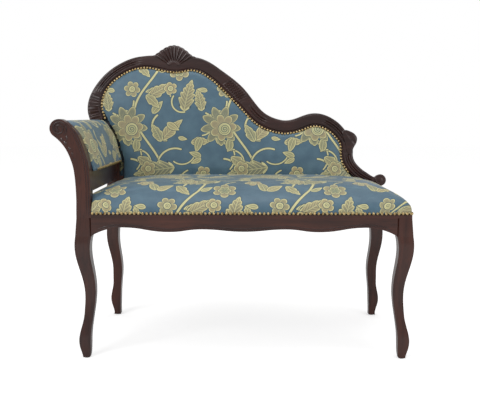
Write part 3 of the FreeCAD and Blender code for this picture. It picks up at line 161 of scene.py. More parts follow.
# %% [markdown]
# Shader graphs get long, so a small writer keeps them readable. `Graph.math` adds one
# arithmetic node and takes numbers or other nodes' outputs, and the other methods do
# the same for mixing colours and for noise.

# %% A small writer for shader graphs
class Graph:
    """Adds nodes to one tree; every method returns the output socket it made."""

    def __init__(self, tree):
        self.tree = tree

    def feed(self, socket, value):
        if isinstance(value, bpy.types.NodeSocket):
            self.tree.links.new(value, socket)
        elif value is not None:
            socket.default_value = value

    def math(self, operation, *values, clamp=False):
        node = self.tree.nodes.new("ShaderNodeMath")
        node.operation = operation
        node.use_clamp = clamp
        for socket, value in zip(node.inputs, values):
            self.feed(socket, value)
        return node.outputs[0]

    def ramp(self, value, low, high):
        """0 below low, 1 above high, straight between."""
        node = self.tree.nodes.new("ShaderNodeMapRange")
        self.feed(node.inputs["Value"], value)
        self.feed(node.inputs["From Min"], low)
        self.feed(node.inputs["From Max"], high)
        return node.outputs[0]

    def mix(self, share, first, second):
        node = self.tree.nodes.new("ShaderNodeMix")
        node.data_type = "RGBA"
        colours = [s for s in node.inputs if s.type == "RGBA"]
        self.feed(node.inputs[0], share)
        self.feed(colours[0], first)
        self.feed(colours[1], second)
        return [s for s in node.outputs if s.type == "RGBA"][0]

    def noise(self, vector, scale, detail=3.0, roughness=0.5):
        node = self.tree.nodes.new("ShaderNodeTexNoise")
        self.feed(node.inputs["Vector"], vector)
        node.inputs["Scale"].default_value = scale
        node.inputs["Detail"].default_value = detail
        node.inputs["Roughness"].default_value = roughness
        return node.outputs["Fac"]

    def coordinates(self, kind, stretch=(1.0, 1.0, 1.0)):
        """Object or UV coordinates, stretched so that a pattern can run along a piece."""
        source = self.tree.nodes.new("ShaderNodeTexCoord")
        if stretch == (1.0, 1.0, 1.0):
            return source.outputs[kind]
        mapping = self.tree.nodes.new("ShaderNodeMapping")
        mapping.inputs["Scale"].default_value = stretch
        self.feed(mapping.inputs["Vector"], source.outputs[kind])
        return mapping.outputs[0]

    def split(self, vector):
        node = self.tree.nodes.new("ShaderNodeSeparateXYZ")
        self.feed(node.inputs[0], vector)
        return node.outputs

    def bump(self, height, distance, strength=1.0):
        node = self.tree.nodes.new("ShaderNodeBump")
        node.inputs["Strength"].default_value = strength
        node.inputs["Distance"].default_value = distance
        self.feed(node.inputs["Height"], height)
        return node.outputs[0]


def finish_material(name, colour, roughness, normal=None, **constants):
    """A principled material whose single values are set on the shader's own sockets."""
    material, tree, output = name
    shader = tree.nodes.new("ShaderNodeBsdfPrincipled")
    graph = Graph(tree)
    graph.feed(shader.inputs["Base Color"], colour)
    graph.feed(shader.inputs["Roughness"], roughness)
    if normal is not None:
        graph.feed(shader.inputs["Normal"], normal)
    for socket, value in constants.items():
        shader.inputs[socket.replace("_", " ")].default_value = value
    tree.links.new(shader.outputs[0], output.inputs["Surface"])
    return material


def rgb(red, green, blue):
    """A colour given as it looks on a screen, 0 to 255, in the linear values shaders take."""
    values = [c / 255.0 for c in (red, green, blue)]
    return tuple(v / 12.92 if v <= 0.04045 else ((v + 0.055) / 1.055) ** 2.4 for v in values) + (1.0,)


# %% [markdown]
# The show wood is a dark mahogany stain under a glossy varnish. The grain is fine and
# runs along each piece, so one function makes the material for a grain along X, Y or
# Z: stretched noise gives streaks and pores, and a thin coat over a rougher base gives
# the sharp highlights of varnish over the soft ones of wood.

# %% Varnished wood
def varnished_wood(name, along, dark, light):
    parts = node_tree(name)
    graph = Graph(parts[1])
    lengthwise = tuple(0.06 if axis == along else 1.0 for axis in "XYZ")
    place = graph.coordinates("Object", lengthwise)
    streaks = graph.noise(place, 85.0, 5.0, 0.62)
    pores = graph.noise(place, 620.0, 2.0, 0.5)
    broad = graph.noise(graph.coordinates("Object"), 7.0, 2.0, 0.5)
    tone = graph.ramp(streaks, 0.32, 0.70)
    patches = graph.math("MULTIPLY", graph.ramp(broad, 0.3, 0.75), 0.55)
    tone = graph.math("MULTIPLY_ADD", tone, 0.55, patches, clamp=True)
    colour = graph.mix(tone, dark, light)
    pore_lines = graph.ramp(pores, 0.60, 0.72)
    colour = graph.mix(graph.math("MULTIPLY", pore_lines, 0.45), colour,
                       tuple(c * 0.35 for c in dark[:3]) + (1.0,))
    roughness = graph.math("MULTIPLY_ADD", streaks, 0.16, 0.24)
    height = graph.math("SUBTRACT", graph.math("MULTIPLY", streaks, 0.3), pore_lines)
    return finish_material(parts, colour, roughness, graph.bump(height, 0.00012, 0.35),
                           Coat_Weight=0.4, Coat_Roughness=0.12, Specular_IOR_Level=0.3)


STAIN_DARK = rgb(38, 18, 14)
STAIN_LIGHT = rgb(78, 40, 29)
wood_across = varnished_wood("mahogany_across", "X", STAIN_DARK, STAIN_LIGHT)
wood_upright = varnished_wood("mahogany_upright", "Z", STAIN_DARK, STAIN_LIGHT)
wood_deep = varnished_wood("mahogany_deep", "Y", STAIN_DARK, STAIN_LIGHT)
carved_wood = varnished_wood("mahogany_carved", "X", rgb(30, 15, 14), rgb(60, 32, 27))

# %% [markdown]
# The plain finishes are those of the hidden parts and the small hardware: bare timber,
# foam, webbing, black cloth, brass, steel and nylon. They are short, but each has its
# own grain, weave or pits, because the parts can be taken out and looked at.

# %% Plain finishes
def bare_timber():
    parts = node_tree("bare_timber")
    graph = Graph(parts[1])
    streaks = graph.noise(graph.coordinates("Object", (0.08, 1.0, 1.0)), 70.0, 4.0)
    colour = graph.mix(graph.ramp(streaks, 0.3, 0.7), rgb(176, 138, 96), rgb(206, 172, 128))
    return finish_material(parts, colour, 0.6, graph.bump(streaks, 0.0002, 0.4))


def cut_foam():
    parts = node_tree("cut_foam")
    graph = Graph(parts[1])
    cells = graph.noise(graph.coordinates("Object"), 900.0, 1.0)
    colour = graph.mix(graph.ramp(cells, 0.35, 0.65), rgb(206, 190, 140), rgb(232, 220, 176))
    return finish_material(parts, colour, 0.95, graph.bump(cells, 0.0006, 0.7))


def woven(name, dark, light, threads, sheen):
    """Plain cloth: two wave patterns at right angles make its over-and-under threads."""
    parts = node_tree(name)
    graph = Graph(parts[1])
    sides = graph.split(graph.coordinates("Object"))
    turns = 2.0 * math.pi * threads
    warp = graph.math("SINE", graph.math("MULTIPLY", graph.math("ADD", sides[0], sides[2]), turns))
    weft = graph.math("SINE", graph.math("MULTIPLY", graph.math("SUBTRACT", sides[1], sides[2]), turns))
    weave = graph.ramp(graph.math("MULTIPLY", warp, weft), -1.0, 1.0)
    return finish_material(parts, graph.mix(weave, dark, light), 0.9,
                           graph.bump(weave, 0.0003, 0.6), Sheen_Weight=sheen)


def metal(name, dark, light, roughness, scale):
    parts = node_tree(name)
    graph = Graph(parts[1])
    wear = graph.noise(graph.coordinates("Object"), scale, 3.0)
    colour = graph.mix(graph.ramp(wear, 0.35, 0.65), dark, light)
    return finish_material(parts, colour, graph.math("MULTIPLY_ADD", wear, 0.2, roughness),
                           graph.bump(wear, 0.0001, 0.3), Metallic=1.0)


def nylon():
    parts = node_tree("black_nylon")
    graph = Graph(parts[1])
    grain = graph.noise(graph.coordinates("Object"), 700.0, 2.0)
    return finish_material(parts, graph.mix(grain, rgb(22, 22, 22), rgb(44, 44, 44)), 0.55,
                           graph.bump(grain, 0.0001, 0.4))


bare_wood = bare_timber()
foam = cut_foam()
jute = woven("jute_webbing", rgb(116, 92, 60), rgb(170, 142, 100), 400.0, 0.1)
black_cloth = woven("black_spun_cloth", rgb(16, 16, 18), rgb(40, 40, 44), 700.0, 0.15)
brass = metal("antique_brass", rgb(132, 108, 66), rgb(214, 190, 140), 0.22, 260.0)
steel = metal("zinc_steel", rgb(150, 152, 156), rgb(200, 202, 206), 0.25, 300.0)
glide_nylon = nylon()
print("plain finishes:", [m.name for m in (bare_wood, foam, jute, black_cloth, brass, steel, glide_nylon)])

# %% [markdown]
# The cover is a jacquard: cream and sage flowers trail over a steel-blue satin. The
# pattern isn't a picture. Each motif is a small group of shader nodes that works out,
# from the cloth's own flat coordinates, how far inside its outline a point lies. The
# group then paints itself over the colour it is given: a dark outline, a pale rim, a
# shaded body and fine veins, so many motifs can be chained one after another. The
# coordinates wrap round a repeat of the cloth, and with them the whole design repeats.

# %% One motif's start and finish
REPEAT = (0.304, 0.392)
GROUND = rgb(82, 111, 127)
OUTLINE = rgb(54, 74, 84)
PALE = rgb(205, 200, 148)
SAGE = rgb(152, 152, 114)
SHADE = rgb(108, 120, 104)
BLUSH = rgb(198, 168, 124)


def open_motif(name, extras):
    """A group with the sockets that all motifs share, its writer, and its inputs by name."""
    group = bpy.data.node_groups.new(name, "ShaderNodeTree")
    shared = [("Place", "NodeSocketVector"), ("Colour", "NodeSocketColor"), ("Height", "NodeSocketFloat"),
              ("Centre", "NodeSocketVector"), ("Angle", "NodeSocketFloat")]
    for label, kind in shared + [(extra, "NodeSocketFloat") for extra in extras]:
        group.interface.new_socket(name=label, in_out="INPUT", socket_type=kind)
    for label, kind in shared[1:3]:
        group.interface.new_socket(name=label, in_out="OUTPUT", socket_type=kind)
    entry = group.nodes.new("NodeGroupInput")
    return group, Graph(group), {s.name: s for s in entry.outputs if s.name}


def local_place(graph, given):
    """The point measured from the motif's centre, within half a repeat, turned to its angle."""
    tree = graph.tree
    away = tree.nodes.new("ShaderNodeVectorMath")
    away.operation = "SUBTRACT"
    graph.feed(away.inputs[0], given["Place"])
    graph.feed(away.inputs[1], given["Centre"])
    wrapped = tree.nodes.new("ShaderNodeVectorMath")
    wrapped.operation = "WRAP"
    graph.feed(wrapped.inputs[0], away.outputs[0])
    wrapped.inputs[1].default_value = (REPEAT[0] / 2.0, REPEAT[1] / 2.0, 1.0)
    wrapped.inputs[2].default_value = (-REPEAT[0] / 2.0, -REPEAT[1] / 2.0, -1.0)
    turned = tree.nodes.new("ShaderNodeVectorRotate")
    turned.rotation_type = "Z_AXIS"
    graph.feed(turned.inputs["Vector"], wrapped.outputs[0])
    graph.feed(turned.inputs["Angle"], graph.math("MULTIPLY", given["Angle"], -1.0))
    return graph.split(turned.outputs[0])


def paint_motif(graph, given, depth, veins, blush):
    """Paints a motif from its depth inside the outline, in metres, and closes the group."""
    inside = graph.ramp(depth, -0.0003, 0.0003)
    outline = graph.ramp(depth, -0.0021, -0.0013)
    rim = graph.math("MULTIPLY", inside, graph.ramp(depth, 0.0031, 0.0019))
    body = graph.mix(graph.ramp(depth, 0.002, 0.012), SAGE, SHADE)
    body = graph.mix(blush, body, BLUSH)
    body = graph.mix(graph.math("MULTIPLY", veins, 0.85), body, PALE)
    body = graph.mix(rim, body, PALE)
    colour = graph.mix(outline, given["Colour"], OUTLINE)
    colour = graph.mix(inside, colour, body)
    height = graph.math("MAXIMUM", given["Height"], inside)
    leave = graph.tree.nodes.new("NodeGroupOutput")
    graph.feed(leave.inputs["Colour"], colour)
    graph.feed(leave.inputs["Height"], height)


# %% [markdown]
# There are five kinds of motif. A leaf is pointed, may be bent along an arc and may
# have lobes. A flower is a ring of petals about its centre. A bloom's heart is a coil.
# A stem is a band along an arc, and a trail is the long stem that waves up the cloth.

# %% Leaf
def leaf_motif():
    extras = ["Length", "Width", "Lobes", "Lobe depth", "Bend", "Blush"]
    group, graph, given = open_motif("leaf_motif", extras)
    along, side, unused = local_place(graph, given)
    share = graph.math("DIVIDE", along, given["Length"])
    swing = graph.math("MULTIPLY", graph.math("MULTIPLY", share, share), given["Bend"])
    off = graph.math("ABSOLUTE", graph.math("SUBTRACT", side, swing))
    bounded = graph.math("MINIMUM", graph.math("MAXIMUM", share, 0.0), 1.0)
    arch = graph.math("SINE", graph.math("MULTIPLY", graph.math("POWER", bounded, 0.72), math.pi))
    half = graph.math("MULTIPLY", graph.math("POWER", graph.math("MAXIMUM", arch, 0.0), 0.85),
                      graph.math("MULTIPLY", given["Width"], 0.5))
    slant = graph.math("MULTIPLY", graph.math("DIVIDE", off, given["Width"]), 0.55)
    beat = graph.math("MULTIPLY", graph.math("SUBTRACT", share, slant), given["Lobes"])
    notch = graph.math("ABSOLUTE", graph.math("SINE", graph.math("MULTIPLY", beat, math.pi)))
    notch = graph.math("MULTIPLY", graph.math("SUBTRACT", 1.0, notch), given["Lobe depth"])
    edge = graph.math("MULTIPLY", half, graph.math("SUBTRACT", 1.0, notch))
    beyond = graph.math("MULTIPLY", graph.math("ABSOLUTE", graph.math("SUBTRACT", share, bounded)),
                        given["Length"])
    depth = graph.math("SUBTRACT", edge, graph.math("ADD", off, beyond))
    midrib = graph.ramp(off, 0.0014, 0.0007)
    rib_beat = graph.math("FRACT", graph.math("MULTIPLY", graph.math("SUBTRACT", share, slant), 9.0))
    ribs = graph.math("MULTIPLY", graph.ramp(rib_beat, 0.24, 0.12), graph.ramp(off, 0.0, 0.004))
    paint_motif(graph, given, depth, graph.math("MAXIMUM", midrib, ribs), given["Blush"])
    return group


leaf = leaf_motif()


# %% Flower and coil
def flower_motif():
    extras = ["Radius", "Petals", "Petal depth", "Point", "Blush"]
    group, graph, given = open_motif("flower_motif", extras)
    across, up, unused = local_place(graph, given)
    reach = graph.math("SQRT", graph.math("ADD", graph.math("MULTIPLY", across, across),
                                          graph.math("MULTIPLY", up, up)))
    turn = graph.math("DIVIDE", graph.math("ARCTAN2", up, across), 2.0 * math.pi)
    beat = graph.math("FRACT", graph.math("MULTIPLY", turn, given["Petals"]))
    from_middle = graph.math("MULTIPLY", graph.math("ABSOLUTE", graph.math("SUBTRACT", beat, 0.5)), 2.0)
    dip = graph.math("MULTIPLY", graph.math("POWER", from_middle, given["Point"]), given["Petal depth"])
    edge = graph.math("MULTIPLY", given["Radius"], graph.math("SUBTRACT", 1.0, dip))
    depth = graph.math("SUBTRACT", edge, reach)
    share = graph.math("DIVIDE", reach, given["Radius"])
    gap = graph.math("MULTIPLY", graph.ramp(from_middle, 0.86, 0.96), graph.ramp(share, 0.18, 0.3))
    fine = graph.math("FRACT", graph.math("MULTIPLY", beat, 5.0))
    lines = graph.math("MULTIPLY", graph.ramp(fine, 0.24, 0.12), graph.ramp(share, 0.75, 0.35))
    depth = graph.math("SUBTRACT", depth, graph.math("MULTIPLY", gap, 0.0034))
    paint_motif(graph, given, depth, lines, given["Blush"])
    return group


def coil_motif():
    group, graph, given = open_motif("coil_motif", ["Radius", "Turns", "Blush"])
    across, up, unused = local_place(graph, given)
    reach = graph.math("SQRT", graph.math("ADD", graph.math("MULTIPLY", across, across),
                                          graph.math("MULTIPLY", up, up)))
    turn = graph.math("DIVIDE", graph.math("ARCTAN2", up, across), 2.0 * math.pi)
    share = graph.math("DIVIDE", reach, given["Radius"])
    wound = graph.math("FRACT", graph.math("ADD", graph.math("MULTIPLY", share, given["Turns"]), turn))
    line = graph.math("MULTIPLY", graph.ramp(wound, 0.45, 0.6), graph.ramp(wound, 1.0, 0.9))
    paint_motif(graph, given, graph.math("SUBTRACT", given["Radius"], reach), line, given["Blush"])
    return group


flower = flower_motif()
coil = coil_motif()


# %% Stem and trail
def stem_motif():
    extras = ["Radius", "Half span", "Width", "Blush"]
    group, graph, given = open_motif("stem_motif", extras)
    across, up, unused = local_place(graph, given)
    reach = graph.math("SQRT", graph.math("ADD", graph.math("MULTIPLY", across, across),
                                          graph.math("MULTIPLY", up, up)))
    off = graph.math("ABSOLUTE", graph.math("SUBTRACT", reach, given["Radius"]))
    turn = graph.math("ABSOLUTE", graph.math("ARCTAN2", up, across))
    past = graph.math("MULTIPLY", graph.math("MAXIMUM", graph.math("SUBTRACT", turn, given["Half span"]), 0.0),
                      given["Radius"])
    away = graph.math("SQRT", graph.math("ADD", graph.math("MULTIPLY", off, off),
                                         graph.math("MULTIPLY", past, past)))
    depth = graph.math("SUBTRACT", graph.math("MULTIPLY", given["Width"], 0.5), away)
    paint_motif(graph, given, depth, graph.ramp(away, 0.0012, 0.0006), given["Blush"])
    return group


def trail_motif():
    """A wave that runs up the whole cloth; its centre line sways by Sway each side."""
    group, graph, given = open_motif("trail_motif", ["Sway", "Width", "Blush"])
    across, up, unused = local_place(graph, given)
    phase = graph.math("MULTIPLY", up, 2.0 * math.pi / REPEAT[1])
    line = graph.math("MULTIPLY", graph.math("SINE", phase), given["Sway"])
    slope = graph.math("MULTIPLY", graph.math("COSINE", phase),
                       graph.math("MULTIPLY", given["Sway"], 2.0 * math.pi / REPEAT[1]))
    stretch = graph.math("SQRT", graph.math("ADD", graph.math("MULTIPLY", slope, slope), 1.0))
    away = graph.math("DIVIDE", graph.math("ABSOLUTE", graph.math("SUBTRACT", across, line)), stretch)
    depth = graph.math("SUBTRACT", graph.math("MULTIPLY", given["Width"], 0.5), away)
    paint_motif(graph, given, depth, graph.ramp(away, 0.0012, 0.0006), given["Blush"])
    return group


stem = stem_motif()
trail = trail_motif()
print("motif groups:", [g.name for g in (leaf, flower, coil, stem, trail)])

# %% [markdown]
# One repeat of the design is a list of motifs in millimetres, painted in order, so that
# stems come first, then leaves, and flowers last. Each row holds a centre, an angle in
# degrees and the sizes of its kind. A petal or a leaf starts at its centre and points
# along its angle.

# %% The design
DESIGN = [
    (trail, (152, 0), 0, (46, 6.6, 0.1)),
    (stem, (92, 92), 20, (52, 1.15, 5.9, 0.1)),
    (stem, (210, 250), 200, (46, 1.25, 5.9, 0.1)),
    (stem, (240, 120), 120, (58, 0.85, 5.6, 0.1)),
    (stem, (60, 330), -60, (44, 1.1, 5.3, 0.1)),
    (stem, (262, 330), 215, (34, 1.2, 5, 0.2)),
    (stem, (120, 132), 40, (40, 1.2, 5, 0.1)),
    (stem, (70, 150), 10, (60, 0.9, 4.6, 0.1)),
    (stem, (300, 60), 170, (50, 1.0, 4.6, 0.1)),
    (stem, (180, 330), 80, (48, 1.0, 4.6, 0.1)),
    (stem, (20, 260), -20, (40, 1.1, 4.6, 0.1)),
    (stem, (130, 210), 200, (36, 1.2, 4.4, 0.1)),
    (stem, (262, 170), -70, (44, 1.0, 4.4, 0.1)),
    (leaf, (84, 190), 120, (30, 14, 0, 0, 4, 0.2)),
    (leaf, (250, 214), -20, (30, 14, 0, 0, 4, 0.2)),
    (leaf, (176, 374), 200, (32, 15, 0, 0, 4, 0.2)),
    (leaf, (54, 294), 20, (32, 15, 0, 0, -4, 0.1)),
    (leaf, (118, 150), -35, (66, 34, 3, 0.26, 8, 0.2)),
    (leaf, (110, 170), 78, (50, 26, 0, 0, 6, 0.1)),
    (leaf, (292, 196), 12, (62, 32, 3, 0.22, -8, 0.3)),
    (leaf, (20, 214), 245, (52, 26, 0, 0, 6, 0.15)),
    (leaf, (22, 300), 96, (76, 38, 5, 0.3, 8, 0.2)),
    (leaf, (166, 292), 58, (52, 25, 0, 0, -6, 0.1)),
    (leaf, (120, 66), -60, (58, 30, 3, 0.24, 8, 0.2)),
    (leaf, (238, 116), 186, (137, 60, 6, 0.34, 10, 0.15)),
    (leaf, (196, 205), 52, (95, 39, 3, 0.2, -12, 0.35)),
    (leaf, (194, 200), 112, (66, 34, 3, 0.2, 8, 0.1)),
    (leaf, (150, 348), 24, (85, 39, 3, 0.22, 10, 0.3)),
    (leaf, (144, 352), -38, (61, 31, 3, 0.2, -6, 0.2)),
    (leaf, (268, 300), 80, (107, 52, 5, 0.3, -8, 0.25)),
    (leaf, (60, 40), 100, (56, 26, 0, 0, 8, 0.1)),
    (leaf, (66, 40), 40, (51, 26, 0, 0, -6, 0.3)),
    (leaf, (20, 150), 150, (41, 20, 0, 0, 6, 0.1)),
    (flower, (84, 252), 12, (66, 9, 0.42, 1.5, 0.12)),
    (flower, (92, 246), 30, (44, 7, 0.34, 2, 0.35)),
    (coil, (97, 241), 0, (20, 3.2, 0)),
    (flower, (252, 42), 0, (34, 6, 0.34, 2.2, 0.3)),
    (coil, (252, 42), 0, (8, 2, 0)),
    (flower, (28, 96), 10, (25, 5, 0.3, 2, 0.45)),
    (flower, (224, 374), 0, (22, 5, 0.28, 2, 0.4)),
    (flower, (152, 112), 0, (25, 5, 0.3, 2, 0.35)),
    (coil, (152, 112), 0, (10, 2, 0.1)),
    (coil, (28, 96), 0, (10, 2, 0.1)),
    (coil, (224, 374), 0, (9, 2, 0.1)),
    (flower, (252, 42), 30, (19, 6, 0.3, 2, 0)),
    (flower, (98, 372), 20, (27, 6, 0.32, 2, 0.25)),
    (coil, (98, 372), 0, (10, 2, 0.1)),
    (leaf, (20, 146), 215, (37, 17, 0, 0, -5, 0.2)),
    (leaf, (214, 262), -40, (46, 22, 0, 0, 6, 0.3)),
    (leaf, (186, 40), 20, (37, 17, 0, 0, 6, 0.1)),
    (leaf, (40, 366), 160, (34, 16, 0, 0, 6, 0.1)),
]


def place_motif(graph, place, colour, height, kind, centre, angle, sizes):
    """Adds one motif of the design to the cloth's graph."""
    node = graph.tree.nodes.new("ShaderNodeGroup")
    node.node_tree = kind
    graph.feed(node.inputs["Place"], place)
    graph.feed(node.inputs["Colour"], colour)
    graph.feed(node.inputs["Height"], height)
    node.inputs["Centre"].default_value = (centre[0] * MM, centre[1] * MM, 0.0)
    node.inputs["Angle"].default_value = math.radians(angle)
    lengths = ("Length", "Width", "Radius", "Bend", "Sway")
    for socket, size in zip(list(node.inputs)[5:], sizes):
        socket.default_value = size * MM if socket.name in lengths else size
    return node.outputs["Colour"], node.outputs["Height"]


def after_motif(graph, place, height):
    """The same place, made to wait for a motif, so that few values are held at one time."""
    node = graph.tree.nodes.new("ShaderNodeVectorMath")
    node.operation = "MULTIPLY_ADD"
    graph.feed(node.inputs[0], height)
    node.inputs[1].default_value = (1e-9, 1e-9, 0.0)
    graph.feed(node.inputs[2], place)
    return node.outputs[0]


# %% [markdown]
# The ground is a satin, smoother than the figures that stand on it. Fine slanting
# threads run over all of it, its colour drifts a little from place to place, and a
# light sheen catches the edges where the cover turns away.

# %% Jacquard cover
def jacquard(name, laid):
    """The cover; laid is UV, or the two object axes that a flat panel lies along."""
    parts = node_tree(name)
    graph = Graph(parts[1])
    place = graph.coordinates("UV" if laid == "UV" else "Object")
    if laid != "UV":
        axes = dict(zip("XYZ", graph.split(place)))
        flat = parts[1].nodes.new("ShaderNodeCombineXYZ")
        graph.feed(flat.inputs[0], axes[laid[0]])
        graph.feed(flat.inputs[1], axes[laid[1]])
        place = flat.outputs[0]
    drift = graph.noise(place, 26.0, 3.0)
    colour = graph.mix(graph.ramp(drift, 0.3, 0.7), rgb(69, 97, 115), GROUND)
    height = 0.0
    following = place
    for kind, centre, angle, sizes in DESIGN:
        colour, height = place_motif(graph, following, colour, height, kind, centre, angle, sizes)
        following = after_motif(graph, place, height)
    sides = graph.split(place)
    twill = graph.math("SINE", graph.math("MULTIPLY", graph.math("ADD", sides[0], sides[1]), 5200.0))
    weft = graph.math("SINE", graph.math("MULTIPLY", sides[1], 7400.0))
    threads = graph.math("ADD", graph.math("MULTIPLY", twill, 0.5), graph.math("MULTIPLY", weft, 0.5))
    fleck = graph.noise(place, 900.0, 2.0)
    shade = graph.math("MULTIPLY_ADD", threads, 0.05, graph.math("MULTIPLY_ADD", fleck, 0.3, 0.82))
    lit = parts[1].nodes.new("ShaderNodeVectorMath")
    lit.operation = "SCALE"
    graph.feed(lit.inputs[0], colour)
    graph.feed(lit.inputs["Scale"], shade)
    relief = graph.math("MULTIPLY_ADD", threads, 0.12, graph.math("MULTIPLY", height, 0.8))
    roughness = graph.math("MULTIPLY_ADD", height, 0.22, 0.46)
    return finish_material(parts, lit.outputs[0], roughness, graph.bump(relief, 0.0004, 0.5),
                           Sheen_Weight=0.18, Sheen_Roughness=0.4, Specular_IOR_Level=0.45)


cover_cloth = jacquard("jacquard_cover", "UV")
back_cloth = jacquard("jacquard_outside_back", "XZ")
side_cloth = jacquard("jacquard_outside_arm", "YZ")
print("jacquard nodes:", len(cover_cloth.node_tree.nodes), "motifs:", len(DESIGN))

# %% [markdown]
# Most pieces here are one idea: a flat grid whose corners are each moved to a place
# worked out from two shares, one around the piece and one along it. Closing the seam
# and capping the ends makes a solid. `finish_piece` turns such a mesh into an object,
# smooths it, and says which body it rides on and which frame parts it stands for.

# %% Grids bent into pieces
def bent_grid(across, along, place, closed=False, capped=True):
    mesh = bmesh.new()
    bmesh.ops.create_grid(mesh, x_segments=across, y_segments=along, size=0.5)
    for vertex in mesh.verts:
        vertex.co = place(vertex.co.x + 0.5, vertex.co.y + 0.5)
    if closed:
        bmesh.ops.remove_doubles(mesh, verts=mesh.verts, dist=0.00001)
    if capped:
        bmesh.ops.holes_fill(mesh, edges=[e for e in mesh.edges if e.is_boundary], sides=0)
    bmesh.ops.recalc_face_normals(mesh, faces=mesh.faces)
    return mesh


def finish_piece(name, mesh, material, stands_for=(), crease=40.0):
    data = bpy.data.meshes.new(name)
    if isinstance(mesh, bmesh.types.BMesh):
        mesh.to_mesh(data)
        mesh.free()
    else:
        data = mesh
        data.name = name
    data.materials.clear()
    data.materials.append(material)
    data.shade_smooth()
    data.set_sharp_from_angle(angle=math.radians(crease))
    piece = bpy.data.objects.new(name, data)
    scene.collection.objects.link(piece)
    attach(piece, BODY)
    if stands_for:
        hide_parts(*stands_for)
    return piece


def smooth_row(rows, at):
    """The values of a table at a place between its rows, on a smooth curve through them."""
    at = min(max(at, rows[0][0]), rows[-1][0])
    index = max(i for i in range(len(rows) - 1) if rows[i][0] <= at)
    first, last = rows[index], rows[index + 1]
    span = last[0] - first[0]
    share = (at - first[0]) / span
    before = rows[index - 1] if index > 0 else first
    after = rows[index + 2] if index + 2 < len(rows) else last
    values = []
    for column in range(1, len(first)):
        slope_in = (last[column] - before[column]) / (last[0] - before[0])
        slope_out = (after[column] - first[column]) / (after[0] - first[0])
        s2, s3 = share * share, share ** 3
        values.append((2 * s3 - 3 * s2 + 1) * first[column] + (s3 - 2 * s2 + share) * span * slope_in
                      + (3 * s2 - 2 * s3) * last[column] + (s3 - s2) * span * slope_out)
    return values


def seat_place(x, y, z):
    """A point given in millimetres from the middle of the rail's front face, at floor height."""
    return Vector((MIDDLE_X + x * MM, FRONT_Y + y * MM, z * MM))


RAKE = math.radians(8.0)
HINGE_Y, HINGE_Z, BACK_THICK = 410.0, 400.0, 28.0


def back_place(x, through, rise):
    """A point of the leaned back: across, through from its front plane, and up the plane."""
    return seat_place(x, HINGE_Y + through * math.cos(RAKE) + rise * math.sin(RAKE),
                      HINGE_Z + rise * math.cos(RAKE) - through * math.sin(RAKE))


def back_drawing(point):
    """The reverse: the across, through and rise of a point in metres."""
    x = (point.x - MIDDLE_X) / MM
    y = (point.y - FRONT_Y) / MM - HINGE_Y
    z = point.z / MM - HINGE_Z
    return x, y * math.cos(RAKE) - z * math.sin(RAKE), y * math.sin(RAKE) + z * math.cos(RAKE)


# %% [markdown]
# The seat is a sprung, crowned cushion whose cover is nailed to the rails. It starts
# as rounded rings from the nail line up to the crown, a little under its real size,
# with its corners cut away for the arm post and the rear legs. The back and the arm
# start from the frame's own solids.

# %% Seat form
NAIL_LINE = 404.0
SEAT_ROWS = [(0, -1.5, 0.0, 5), (12, -3.0, 0.0, 6), (26, 1.5, 0.0, 8), (41, 15.0, 0.5, 22),
             (56, 40.0, 1.5, 48), (67, 76.0, 4.0, 74), (73, 118.0, 14.0, 84), (76, 165.0, 46.0, 70)]
SEAT_HALF, SEAT_BACK = 453.0, 410.0
SEAT_UNDER = 1.0


def rounded_ring(share, half, near, far, radius):
    """A point of a rectangle with rounded corners, by its share of the way round."""
    straight_x, straight_y = 2.0 * (half - radius), far - near - 2.0 * radius
    quarter = 0.5 * math.pi * radius
    corners = [(half - radius, near + radius, -90), (half - radius, far - radius, 0),
               (-half + radius, far - radius, 90), (-half + radius, near + radius, 180)]
    travel = share * (2.0 * (straight_x + straight_y) + 4.0 * quarter)
    heading = 0.0
    x, y = -half + radius, near
    for (cx, cy, start), run in zip(corners, (straight_x, straight_y, straight_x, straight_y)):
        if travel <= run:
            return (x + travel * math.cos(math.radians(heading)), y + travel * math.sin(math.radians(heading)))
        travel -= run
        if travel <= quarter:
            turn = math.radians(start + 90.0 * travel / quarter)
            return cx + radius * math.cos(turn), cy + radius * math.sin(turn)
        travel -= quarter
        heading += 90.0
        turn = math.radians(start + 90.0)
        x, y = cx + radius * math.cos(turn), cy + radius * math.sin(turn)
    return x, y


def seat_form_place(share, rise):
    height = SEAT_ROWS[-1][0] * rise
    inset, back_inset, radius = smooth_row(SEAT_ROWS, height)
    x, y = rounded_ring(share, SEAT_HALF - inset - SEAT_UNDER, inset + SEAT_UNDER,
                        SEAT_BACK - back_inset, max(radius, 4.0))
    return seat_place(x, y, NAIL_LINE + 1.0 + (height - SEAT_UNDER) * (1.0 if height > SEAT_UNDER else 0.0))


def box_cutter(low, high):
    """A scratch box that is cut out of a form and then removed."""
    mesh = bmesh.new()
    bmesh.ops.create_cube(mesh, size=1.0)
    for vertex in mesh.verts:
        shares = vertex.co + Vector((0.5, 0.5, 0.5))
        vertex.co = Vector([a + (b - a) * s for a, b, s in zip(low, high, shares)])
    data = bpy.data.meshes.new("cutter")
    mesh.to_mesh(data)
    mesh.free()
    cutter = bpy.data.objects.new("cutter", data)
    scene.collection.objects.link(cutter)
    return cutter


def remeshed(data, voxel, cutters=()):
    """A form cut by boxes and rebuilt with even faces, as a new mesh."""
    form = bpy.data.objects.new("form", data)
    scene.collection.objects.link(form)
    for cutter in cutters:
        cut = form.modifiers.new("cut", "BOOLEAN")
        cut.operation = "DIFFERENCE"
        cut.object = cutter
    even = form.modifiers.new("even", "REMESH")
    even.mode = "VOXEL"
    even.voxel_size = voxel
    seen = form.evaluated_get(bpy.context.evaluated_depsgraph_get())
    result = bpy.data.meshes.new_from_object(seen)
    for scratch in [form] + list(cutters):
        bpy.data.objects.remove(scratch)
    return result


